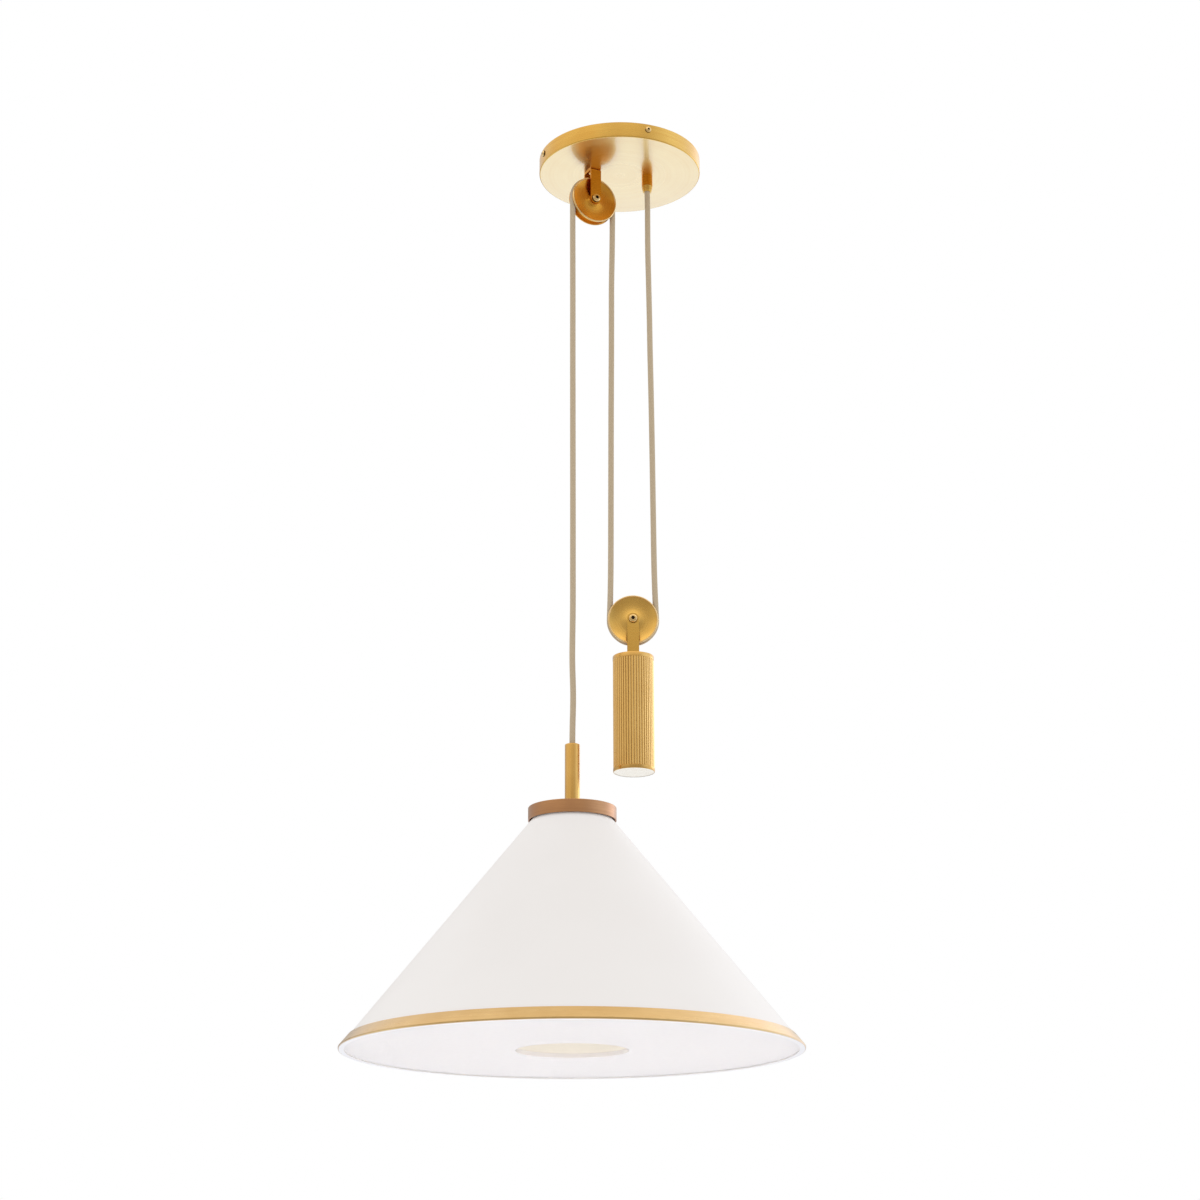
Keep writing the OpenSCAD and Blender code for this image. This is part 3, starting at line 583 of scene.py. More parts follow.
def deselect() -> None:
    """Leaves nothing selected, because an operator acts on all that is."""
    if bpy.context.mode != "OBJECT":
        bpy.ops.object.mode_set(mode="OBJECT")
    bpy.ops.object.select_all(action="DESELECT")


def only(piece: Piece) -> None:
    """Selects one piece and makes it active.

    Args:
        piece: The piece.
    """
    deselect()
    piece.select_set(True)
    bpy.context.view_layer.objects.active = piece


def apply_place(piece: Piece, place: Matrix) -> None:
    """Puts a piece in its place and applies that to its mesh.

    Args:
        piece: A piece made about the origin.
        place: Its place in the frame.
    """
    only(piece)
    piece.matrix_world = place
    bpy.ops.object.transform_apply(location=True, rotation=True, scale=True)


def pick(piece: Piece, chosen: Callable[[bpy.types.MeshVertex], bool]) -> None:
    """Selects, in edit mode, just the vertices that pass a test.

    Args:
        piece: The piece that is being edited.
        chosen: The test.
    """
    bpy.ops.mesh.select_mode(type="VERT")
    bpy.ops.mesh.select_all(action="DESELECT")
    bpy.ops.object.mode_set(mode="OBJECT")
    for vertex in piece.data.vertices:
        vertex.select = chosen(vertex)
    bpy.ops.object.mode_set(mode="EDIT")


def draw_in(piece: Piece, shares: list[float], phase: Callable[[Vector], int | None]) -> None:
    """Draws a round outline in to a repeating one, one phase of the pattern at a time.

    Args:
        piece: A piece turned about Z.
        shares: How much of its distance from the axis each phase keeps.
        phase: Tells a vertex's phase from its place in millimetres, or None if it stays.
    """
    only(piece)
    bpy.ops.object.mode_set(mode="EDIT")
    for number, share in enumerate(shares):
        pick(piece, lambda vertex: phase(vertex.co / MM) == number)
        bpy.ops.transform.resize(value=(share, share, 1), center_override=(0, 0, 0))
    bpy.ops.object.mode_set(mode="OBJECT")


def pulley_place(centre: Vector, turn_angle: float) -> Matrix:
    """The place of a piece made about Z, turned to lie on a pulley's axle.

    Args:
        centre: The pulley's centre in millimetres.
        turn_angle: Its turn about the vertical in degrees.

    Returns:
        The place in metres.
    """
    turned = Matrix.Translation(centre * MM) @ Matrix.Rotation(math.radians(turn_angle), 4, "Z")
    return turned @ Matrix.Rotation(math.radians(90), 4, "X")


def upright_place(axis: Vector) -> Matrix:
    """The place of a piece turned about Z with its true heights, on an upright axis."""
    return Matrix.Translation(Vector((axis.x, axis.y, 0)) * MM)


def smooth(piece: Piece, angle: float = 30.0) -> None:
    """Shades a piece smooth but for edges sharper than an angle in degrees."""
    only(piece)
    bpy.ops.object.shade_smooth_by_angle(angle=math.radians(angle))


def turn(name: str, profile: Profile, segments: int = 192) -> Piece:
    """Turns a profile about the Z axis: a ring is extruded from point to point.

    Args:
        name: The piece's name.
        profile: Radius and height of each point in millimetres, round a closed section. A
            radius of 0, first or last, is a pole.
        segments: Facets round the axis.

    Returns:
        The turned piece about the origin.
    """
    deselect()
    pole = profile[0] if profile[0][0] == 0 else None
    if pole:
        profile = profile[1:]
    radius, height = profile[0]
    bpy.ops.mesh.primitive_circle_add(
        vertices=segments, radius=radius * MM, location=(0, 0, height * MM)
    )
    piece = bpy.context.object
    piece.name = name
    bpy.ops.object.transform_apply(location=True, rotation=True, scale=True)
    bpy.ops.object.mode_set(mode="EDIT")
    bpy.ops.mesh.select_mode(type="EDGE")
    bpy.ops.mesh.select_all(action="SELECT")
    for next_radius, next_height in profile[1:] + profile[:1]:
        bpy.ops.mesh.extrude_edges_move(
            TRANSFORM_OT_translate={"value": (0, 0, (next_height - height) * MM)}
        )
        if next_radius == 0:
            bpy.ops.mesh.merge(type="CENTER")
            break
        share = next_radius / radius
        bpy.ops.transform.resize(
            value=(share, share, 1), center_override=(0, 0, next_height * MM)
        )
        radius, height = next_radius, next_height
    if pole:
        pick(piece, lambda vertex: vertex.index < segments)
        bpy.ops.mesh.extrude_region_move(
            TRANSFORM_OT_translate={"value": (0, 0, (pole[1] - profile[0][1]) * MM)}
        )
        bpy.ops.mesh.merge(type="CENTER")
    bpy.ops.mesh.select_all(action="SELECT")
    bpy.ops.mesh.remove_doubles(threshold=0.002 * MM)
    bpy.ops.mesh.normals_make_consistent(inside=False)
    bpy.ops.object.mode_set(mode="OBJECT")
    return piece


def arc(
    centre: tuple[float, float], radius: float, start: float, end: float, steps: int
) -> Profile:
    """Points along an arc.

    Args:
        centre: The arc's centre in the profile.
        radius: Its radius.
        start: Its first angle in degrees.
        end: Its last angle in degrees.
        steps: The number of steps between them.

    Returns:
        The points, both ends among them.
    """
    angles = [math.radians(start + (end - start) * i / steps) for i in range(steps + 1)]
    return [(centre[0] + radius * math.cos(a), centre[1] + radius * math.sin(a)) for a in angles]


def paint(piece: Piece, first: Finish, second: Finish, way: int = 0) -> None:
    """Gives a piece two finishes, the second one on its level faces that look one way.

    Args:
        piece: The piece.
        first: The finish of the rest.
        second: The second finish.
        way: UP or DOWN, or 0 where the caller picks the faces.
    """
    for finish in (first, second):
        piece.data.materials.append(finish.material())
    for polygon in piece.data.polygons:
        polygon.material_index = int(polygon.normal.z * way >= LEVEL_FACE)


def install(
    piece: Piece, finish: Finish, body: str | None, replaces: tuple[str, ...]
) -> None:
    """Finishes a piece: its material, the body it rides on and what it stands for.

    Args:
        piece: The piece, in its place.
        finish: Its finish.
        body: The CAD body that carries it, or None for a piece that two bodies share.
        replaces: The CAD nodes that it stands for.
    """
    if not piece.data.materials:
        piece.data.materials.append(finish.material())
    if body:
        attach(piece, body)
    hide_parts(*replaces)
    LOG.info("%s: %s, on %s", piece.name, finish.name, body or "two bodies")


def dress_nodes(finish: Finish, *nodes: str) -> None:
    """Gives CAD nodes that keep their own shape a finish.

    Args:
        finish: The finish.
        nodes: The nodes' names.
    """
    for name in nodes:
        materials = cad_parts[name].data.materials
        materials.clear()
        materials.append(finish.material())
        LOG.info("%s: CAD shape in %s", name, finish.name)


# ---- Sub-assemblies ----


@dataclass(frozen=True)
class Layout:
    """Where the sub-assemblies stand, in millimetres."""

    upper_turn: float = 26.3
    upper: Point = (-33.2, -9.5, -59.5)
    lower_z: float = -594.0
    pitch_r: float = 27.1
    grip_x: float = 33.9
    grip_tip_z: float = -41.3
    weight_top_z: float = -637.5
    weight_bottom_z: float = -775.0
    stem_top_z: float = -747.5
    cap_top_z: float = -822.0

    @property
    def upper_centre(self) -> Vector:
        """The upper pulley's centre."""
        return Vector(self.upper)

    @property
    def arm(self) -> Vector:
        """The level way from the upper pulley's centre to its right-hand cord."""
        turned = math.radians(self.upper_turn)
        return self.pitch_r * Vector((math.cos(turned), math.sin(turned), 0))

    @property
    def middle_top(self) -> Vector:
        """Where the cord leaves the upper pulley for the lower one."""
        return self.upper_centre + self.arm

    @property
    def lamp_top(self) -> Vector:
        """Where the cord leaves the upper pulley for the lamp."""
        return self.upper_centre - self.arm

    @property
    def grip_tip(self) -> Vector:
        """Where the cord leaves the grip."""
        return Vector((self.grip_x, self.middle_top.y, self.grip_tip_z))

    @property
    def lower_centre(self) -> Vector:
        """The lower pulley's centre."""
        middle = self.middle_top
        return Vector(((self.grip_x + middle.x) / 2, middle.y, self.lower_z))


@dataclass(frozen=True)
class SocketScrew:
    """A button-head screw with a hexagon socket, its socket and the underside of its head's edge
    painted near black as painted shade.
    """

    thread_d: float
    head_d: float
    head_h: float
    socket_af: float
    length: float
    facets: int = 8

    def build(self, name: str) -> Piece:
        """Turns the screw about Z with its head above 0, and presses in the hexagon.

        Args:
            name: The piece's name.

        Returns:
            The screw about the origin.
        """
        head, thread = self.head_d / 2, self.thread_d / 2
        socket, flat = self.socket_af / math.sqrt(3), self.socket_af * 0.7
        depth = self.head_h * 0.35
        dome = [
            (flat + (head - flat) * math.sin(math.radians(a)),
             self.head_h * (0.15 + 0.85 * math.cos(math.radians(a))))
            for a in range(12, 91, 13)
        ]
        screw = turn(
            name,
            [
                (0, depth), (socket * 0.98, depth), (socket, self.head_h), (flat, self.head_h),
                *dome, (head, 0.25), (head - 0.25, 0), (thread, 0),
                (thread, 0.3 - self.length), (thread - 0.3, -self.length), (0, -self.length),
            ],
            segments=6 * self.facets,
        )
        self.press_hexagon(screw, socket + SLACK, depth - SLACK)
        smooth(screw, 32)
        paint(screw, BOLT_BRASS, SOCKET_PAINTED_SHADE)
        # Painted shade: faces in the socket and under the head's edge take the near-black finish.
        for polygon in screw.data.polygons:
            middle = polygon.center / MM
            reach = middle.xy.length
            in_socket = reach < socket * 0.9 and middle.z > 0
            shaded_under_edge = reach > head * 0.94 and middle.z < self.head_h * 0.3
            polygon.material_index = int(in_socket or shaded_under_edge)
        return screw

    def press_hexagon(self, screw: Piece, reach: float, least_z: float) -> None:
        """Draws the socket's rings in to a hexagon.

        Args:
            screw: The turned screw.
            reach: The radius within which its vertices move.
            least_z: The level above which they move.
        """
        step, half = math.radians(60) / self.facets, math.radians(30)

        def phase(here: Vector) -> int | None:
            """Tells where in its sixth of a turn a vertex of the socket lies."""
            in_socket = SLACK < here.xy.length < reach and here.z > least_z
            return round(math.atan2(here.y, here.x) / step) % self.facets if in_socket else None

        shares = [math.cos(half) / math.cos(k * step - half) for k in range(self.facets)]
        draw_in(screw, shares, phase)


AXLE_SCREW = SocketScrew(thread_d=6, head_d=10.5, head_h=3.3, socket_af=4, length=25.9)
SIDE_SCREW = SocketScrew(thread_d=4, head_d=7.6, head_h=2.2, socket_af=2.5, length=8.0)


@dataclass(frozen=True)
class Canopy:
    """The turned cup on the ceiling, with its screws, plate, grip and wiring."""

    radius: float = 98.75
    height: float = 19.5
    wall: float = 1.6
    edge_r: float = 1.4
    # A ring that splits the wide flat face into shorter facets.
    face_ring_r: float = 40.0
    side_screws: int = 4
    side_screw_turn: float = 20.0
    side_screw_drop: float = 7.1

    def build(self) -> None:
        """Builds the cup and its screws and dresses the CAD pieces round them."""
        self.build_cup()
        self.build_side_screws()
        # Painted reflection: the grip body and the bracket take the orange of brass mirrored in
        # brass.
        dress_nodes(MIRROR_ORANGE_BRASS, "cord_grip_body", "upper_bracket")
        dress_nodes(SATIN_BRASS, "cord_grip_cap")
        dress_nodes(BOLT_BRASS, "upper_bracket_screw", "upper_bracket_nut", "upper_axle_nut")
        dress_nodes(BOLT_BRASS, "upper_axle_spacers", "cord_grip_locknut", "terminal_screws")
        dress_nodes(ZINC_STEEL, "mounting_plate", "earth_screw", "block_screw")
        dress_nodes(NYLON, "terminal_block")
        dress_nodes(BROWN_PVC, "lead_wires")

    def build_cup(self) -> None:
        """Turns the cup, rounded along its lower edge, its faced underside painted paler as painted
        light.
        """
        inner, edge = self.radius - self.wall, self.edge_r
        floor = self.wall - self.height
        cup = turn(
            "canopy_cup",
            [
                (0.0, -self.height), (self.face_ring_r, -self.height),
                *arc((self.radius - edge, edge - self.height), edge, -90, 0, 8),
                (self.radius, -0.4), (self.radius - 0.4, 0.0),
                (inner, 0.0), (inner, floor), (0.0, floor),
            ],
            segments=256,
        )
        smooth(cup)
        # Painted light: the downward faces take the paler brass of the brightly lit underside.
        paint(cup, SATIN_BRASS, CANOPY_FACE, DOWN)
        install(cup, SATIN_BRASS, "canopy", ("canopy_shell",))

    def build_side_screws(self) -> None:
        """Makes one screw, copies it round the cup and joins the four."""
        first = SIDE_SCREW.build("canopy_side_screws_socket")
        screws = [first]
        while len(screws) < self.side_screws:
            only(first)
            bpy.ops.object.duplicate()
            screws.append(bpy.context.object)
        for number, screw in enumerate(screws):
            angle = math.radians(self.side_screw_turn + 360 / self.side_screws * number)
            way = Vector((math.cos(angle), math.sin(angle), 0))
            spot = self.radius * way - Vector((0, 0, self.side_screw_drop))
            place = Matrix.Translation(spot * MM) @ Matrix.Rotation(angle, 4, "Z")
            apply_place(screw, place @ Matrix.Rotation(math.radians(90), 4, "Y"))
        only(first)
        for screw in screws:
            screw.select_set(True)
        bpy.ops.object.join()
        install(first, BOLT_BRASS, "canopy", ("canopy_side_screws",))


@dataclass(frozen=True)
class Pulley:
    """One grooved wheel and its axle screw."""

    layout: Layout
    name: str
    centre: Vector
    turn_angle: float
    bolt: str
    bolt_body: str
    colour: str = "#E5B65C"
    toned: str = "#CE9740"
    radius: float = 29.3
    width: float = 12.4
    groove_r: float = 3.6
    rim_w: float = 2.0
    bead_r: float = 1.0
    dish_w: float = 5.2
    dish_r: float = 15.0
    dish_rise: float = 1.3
    hub_r: float = 6.3
    hub_w: float = 10.4
    bore_r: float = 4.07
    bolt_z: float = 9.7

    def build(self) -> None:
        """Turns the wheel and its axle screw and puts them in their place."""
        wheel = turn(f"{self.name}_turned", self.profile(), segments=160)
        smooth(wheel, 35)
        in_rim = [
            abs(polygon.center.z) / MM > self.width / 2 - self.bead_r
            and polygon.center.xy.length / MM > self.radius - self.rim_w
            for polygon in wheel.data.polygons
        ]
        place = pulley_place(self.centre, self.turn_angle)
        apply_place(wheel, place)
        # Brass turned about the axle: rings too fine to see, whose light gathers in fans.
        finish = TurnedMetal(
            f"brass_turned_{self.name}", self.colour, toned=self.toned, roughness=0.25,
            line_mm=1.0, bump_mm=0.01, stretch=0.85, centre=tuple(self.centre),
            axis=tuple(place.to_3x3() @ Vector((0, 0, 1))),
        )
        # Painted highlight: the rim's faces take the paler rim finish.
        paint(wheel, finish, RIM_BRASS)
        for polygon, rim in zip(wheel.data.polygons, in_rim):
            polygon.material_index = int(rim)
        install(wheel, finish, self.name, (self.name,))
        dress_nodes(NYLON, f"{self.name}_bush")
        bolt = AXLE_SCREW.build(f"{self.bolt}_socket")
        apply_place(bolt, place @ Matrix.Translation((0, 0, self.bolt_z * MM)))
        install(bolt, BOLT_BRASS, self.bolt_body, (self.bolt,))

    def profile(self) -> Profile:
        """Draws the wheel's section: hub, dished faces, beaded rim and groove.

        Returns:
            The section's points, about the wheel's middle plane.
        """
        hub, dish = self.hub_w / 2, self.dish_w / 2
        foot = self.width / 2 - self.bead_r
        inward = self.hub_r + 0.6 - self.dish_r
        outward = self.radius - self.rim_w - self.dish_r
        front = [
            (self.bore_r, hub), (self.hub_r - 0.3, hub), (self.hub_r, hub - 0.3),
            (self.hub_r + 0.2, dish + self.dish_rise + 0.3),
            *[
                (self.dish_r + inward * (1 - k / 6), dish + self.dish_rise * (1 - k / 6) ** 2)
                for k in range(6)
            ],
            *[
                (self.dish_r + outward * k / 8, dish + (foot - dish) * (k / 8) ** 2)
                for k in range(8)
            ],
            *arc((self.radius - self.bead_r, foot), self.bead_r, 180, 0, 10),
            (self.radius, self.groove_r + 0.6),
        ]
        groove = arc((self.layout.pitch_r, 0), self.groove_r, 80, 280, 20)
        return front + groove + [(r, -z) for r, z in reversed(front)]


@dataclass(frozen=True)
class Counterweight:
    """The reeded weight under the lower pulley."""

    layout: Layout
    radius: float = 23.8
    wall: float = 3.2
    reeds: int = 48
    reed_depth: float = 0.8
    reed_steps: int = 8
    # How steeply a reed falls to its valley: 1 would make it a straight-sided ridge.
    reed_power: float = 2.2
    top_band: float = 5.5
    bottom_band: float = 4.6
    plug_h: float = 3.0
    screw_bore_r: float = 2.55
    # A ring that splits the wide flat face into shorter facets.
    face_ring_r: float = 20.0

    def build(self) -> None:
        """Builds the reeded sleeve and its two plain ends, and dresses the rest."""
        self.build_sleeve()
        self.build_ends()
        dress_nodes(SATIN_BRASS, "lower_bracket")
        dress_nodes(BOLT_BRASS, "lower_axle_nut", "lower_axle_spacers", "weight_screw")
        dress_nodes(CAST_IRON, "weight_core")

    def build_sleeve(self) -> None:
        """Turns a tube and draws its outside in to reeds."""
        bottom = self.layout.weight_bottom_z + self.bottom_band
        top = self.layout.weight_top_z - self.top_band
        crest, inner = self.radius - 0.15, self.radius - self.wall
        steps = self.reed_steps
        sides = self.reeds * steps

        def phase(here: Vector) -> int | None:
            """Tells where in its reed a vertex of the outside lies."""
            turned = round(math.atan2(here.y, here.x) / math.tau * sides)
            return turned % steps if here.xy.length > crest - SLACK else None

        sleeve = turn(
            "weight_sleeve_reeded",
            [(crest, bottom), (crest, top), (inner, top), (inner, bottom)],
            segments=sides,
        )
        dips = [self.reed_depth * abs(2 * k / steps - 1) ** self.reed_power for k in range(steps)]
        draw_in(sleeve, [1 - dip / crest for dip in dips], phase)
        smooth(sleeve, 40)
        paint(sleeve, REEDED_BRASS, REED_VALLEY)
        # Painted shade: faces deep in a reed's valley take the dull brown finish.
        for polygon in sleeve.data.polygons:
            dip = (crest - polygon.center.xy.length / MM) / self.reed_depth
            polygon.material_index = int(0.5 < dip < 1)
        apply_place(sleeve, upright_place(self.layout.lower_centre))
        install(sleeve, REEDED_BRASS, "counterweight", ("weight_sleeve",))

    def build_ends(self) -> None:
        """Turns the two plain ends, with small chamfers and a plug into the sleeve."""
        outer, bore = self.radius, self.screw_bore_r
        plug = self.radius - self.wall - 0.1
        top, bottom = self.layout.weight_top_z, self.layout.weight_bottom_z
        top_end, bottom_end = top - self.top_band, bottom + self.bottom_band
        upper = turn(
            "weight_top_cap_turned",
            [
                (bore, top), (outer - 1.0, top), (outer - 0.3, top - 0.25),
                (outer, top - 0.9), (outer, top_end + 0.3), (outer - 0.3, top_end),
                (plug, top_end), (plug, top_end - self.plug_h), (bore, top_end - self.plug_h),
            ],
        )
        lower = turn(
            "weight_bottom_cap_turned",
            [
                (0.0, bottom), (self.face_ring_r, bottom), (outer - 0.8, bottom),
                (outer - 0.25, bottom + 0.2), (outer, bottom + 0.7), (outer, bottom_end - 0.3),
                (outer - 0.3, bottom_end), (plug, bottom_end),
                (plug, bottom_end + self.plug_h), (0.0, bottom_end + self.plug_h),
            ],
        )
        # Painted reflection: the downward face of the lower end takes the near-white brass.
        paint(lower, END_BRASS, WEIGHT_FACE, DOWN)
        for piece, node in ((upper, "weight_top_cap"), (lower, "weight_bottom_cap")):
            smooth(piece)
            apply_place(piece, upright_place(self.layout.lower_centre))
            install(piece, END_BRASS, "counterweight", (node,))


@dataclass(frozen=True)
class Lamp:
    """The stem, cap, shade, band, diffuser and lampholder."""

    layout: Layout
    stem_r: float = 8.5
    stem_wall: float = 1.5
    cord_bore_r: float = 3.45
    cap_r: float = 49.7
    cap_h: float = 14.8
    cap_wall: float = 1.5
    tube_bore_r: float = 5.2
    rim_r: float = 254.0
    shade_h: float = 256.2
    neck_r: float = 44.5
    cone_top_r: float = 46.4
    shade_wall: float = 1.0
    band_h: float = 13.8
    band_proud: float = 1.7
    lip_h: float = 2.0
    lip_w: float = 6.7
    lip_t: float = 1.0
    diffuser_t: float = 2.0
    hole_r: float = 62.0
    collar_h: float = 5.0
    # A ring that splits the disc's wide flat faces into shorter facets.
    face_ring_r: float = 150.0

    @property
    def cap_bottom(self) -> float:
        """The level of the cap's lower edge."""
        return self.layout.cap_top_z - self.cap_h

    @property
    def rim_z(self) -> float:
        """The lamp's lowest level."""
        return self.cap_bottom - self.shade_h

    @property
    def slope(self) -> float:
        """How far the cone spreads for each millimetre down."""
        return (self.rim_r - self.band_proud - self.cone_top_r) / (self.shade_h - self.lip_h)

    @property
    def shade_end(self) -> float:
        """The level of the shade's lower edge."""
        return self.rim_z + self.lip_t + self.diffuser_t + 1.2

    def cone_r(self, height: float) -> float:
        """The radius of the cone's outside at a level."""
        return self.cone_top_r + self.slope * (self.cap_bottom - height)

    def build(self) -> None:
        """Builds the lamp's turned pieces and dresses the rest."""
        self.build_stem()
        self.build_cap()
        self.build_shade()
        self.build_band()
        self.build_diffuser()
        dress_nodes(BOLT_BRASS, "stem_bush", "shade_nipple", "screw_shell", "centre_contact")
        dress_nodes(ZINC_STEEL, "stem_cord_collar", "shade_washer", "shade_nut")
        dress_nodes(PHENOLIC, "lampholder_cap", "lampholder_skirt")

    def install(self, piece: Piece, finish: Finish, slot: str, node: str) -> None:
        """Puts a turned piece on the lamp's axis and finishes it.

        Args:
            piece: The piece, shaded.
            finish: Its finish.
            node: The CAD node that it stands for.
        """
        apply_place(piece, upright_place(self.layout.lamp_top))
        install(piece, finish, "lamp", (node,))

    def build_stem(self) -> None:
        """Turns the stem, with its shoulder, its collar round the cord and a turned line."""
        top, foot = self.layout.stem_top_z, self.layout.cap_top_z
        outer, bore, inner = self.stem_r, self.cord_bore_r, self.stem_r - self.stem_wall
        line = foot + 4.6
        stem = turn(
            "stem_turned",
            [
                (bore, top), (bore + 0.6, top), (bore + 1.0, top - 0.5),
                (outer - 1.1, top - 0.6), *arc((outer - 1.0, top - 1.6), 1.0, 80, 0, 6),
                (outer, line + 0.6), (outer - 0.3, line + 0.4), (outer - 0.3, line + 0.1),
                (outer, line - 0.1), (outer, foot), (inner, foot), (inner, top - 3),
                (bore, top - 3),
            ],
            segments=96,
        )
        smooth(stem)
        self.install(stem, STEM_BRASS, "satin_brass", "stem")

    def build_cap(self) -> None:
        """Turns the cap, an upturned cup over the shade's neck."""
        top, bottom = self.layout.cap_top_z, self.cap_bottom
        outer, inner, bore = self.cap_r, self.cap_r - self.cap_wall, self.tube_bore_r
        cap = turn(
            "shade_cap_turned",
            [
                (bore, top), *arc((outer - 0.7, top - 0.7), 0.7, 90, 0, 6),
                (outer, bottom + 0.2), (outer - 0.2, bottom), (inner + 0.2, bottom),
                (inner, bottom + 0.2), (inner, top - self.cap_wall),
                (bore, top - self.cap_wall),
            ],
        )
        smooth(cap)
        self.install(cap, BRONZE, "brushed_bronze", "shade_cap")

    def build_shade(self) -> None:
        """Turns the shade: flat top, short neck and cone, white outside and cream inside."""
        top = self.layout.cap_top_z - self.cap_wall - 0.1
        end, wall, bore = self.shade_end, self.shade_wall, self.tube_bore_r
        bend = 1.5
        shoulder = (self.neck_r - bend, top - bend)
        spread = wall * math.hypot(1, self.slope)
        inner_neck = self.neck_r - wall
        neck_end = self.cap_bottom + (self.cone_top_r - self.neck_r) / self.slope
        inner_end = self.cap_bottom + (self.cone_top_r - spread - inner_neck) / self.slope
        levels = [self.cap_bottom - self.shade_h * k / 8 for k in range(1, 8)]
        shade = turn(
            "shade_spun",
            [
                (bore, top), *arc(shoulder, bend, 90, 0, 6), (self.neck_r, neck_end + 0.5),
                (self.cone_r(neck_end - 0.5), neck_end - 0.5),
                *[(self.cone_r(z), z) for z in levels],
                (self.cone_r(end + 0.3), end + 0.3), (self.cone_r(end) - 0.3, end),
                (self.cone_r(end) - spread, end),
                *[(self.cone_r(z) - spread, z) for z in reversed(levels)],
                (inner_neck, inner_end), *arc(shoulder, bend - wall, 0, 90, 4),
                (bore, top - wall),
            ],
            segments=256,
        )
        # Partly painted light: the inside faces take the cream that stands for off-white paint and
        # warm light in the shade.
        paint(shade, WHITE_PAINT, CREAM_PAINT_AND_WARM_LIGHT)
        for polygon in shade.data.polygons:
            outward = Vector((*polygon.center.xy, 0)).normalized()
            inside = polygon.normal.dot(outward) < -0.05 or polygon.normal.z < -0.95
            polygon.material_index = int(inside)
        smooth(shade, 35)
        self.install(shade, WHITE_PAINT, "white_aluminium", "shade")

    def build_band(self) -> None:
        """Turns the folded metal band round the shade's edge, its lip painted white."""
        rim, bottom, top = self.rim_r, self.rim_z, self.rim_z + self.band_h
        ledge, lip_in = bottom + self.lip_t, rim - self.lip_w
        wall_in = self.cone_r(self.shade_end) + 0.1
        face = self.cone_r(top) + self.band_proud
        band = turn(
            "rim_band_folded",
            [
                (face - 0.4, top), (face, top - 0.35), (rim, bottom + self.lip_h),
                (rim, bottom + 1.0), (rim - 0.3, bottom + 0.3), (rim - 1.0, bottom),
                (lip_in, bottom), (lip_in, ledge), (wall_in, ledge),
                (wall_in, self.shade_end), (self.cone_r(top) - 0.15, top),
            ],
            segments=256,
        )
        paint(band, BAND_BRASS, WHITE_PAINT, DOWN)
        for polygon in band.data.polygons:
            in_lip = polygon.center.z < (ledge - 0.1) * MM
            if in_lip and polygon.center.xy.length < (lip_in + 0.5) * MM:
                polygon.material_index = 1
        smooth(band)
        self.install(band, BAND_BRASS, "band_brass", "rim_band")

    def build_diffuser(self) -> None:
        """Turns the opal disc, with the collar round its hole."""
        ledge, hole, outer = self.rim_z + self.lip_t, self.hole_r, self.rim_r - 4.4
        top, collar = ledge + self.diffuser_t, ledge + self.collar_h
        ring = self.face_ring_r
        disc = turn(
            "diffuser_opal",
            [
                (hole + 0.3, ledge), (ring, ledge), (outer, ledge), (outer, top),
                (ring, top), (hole + 2, top), (hole + 2, collar - 0.3),
                (hole + 1.7, collar), (hole + 0.3, collar), (hole, collar - 0.3),
                (hole, ledge + 0.3),
            ],
            segments=256,
        )
        paint(disc, OPAL_ACRYLIC, OPAL_INNER, UP)
        smooth(disc)
        self.install(disc, OPAL_ACRYLIC, "white_acrylic", "diffuser")


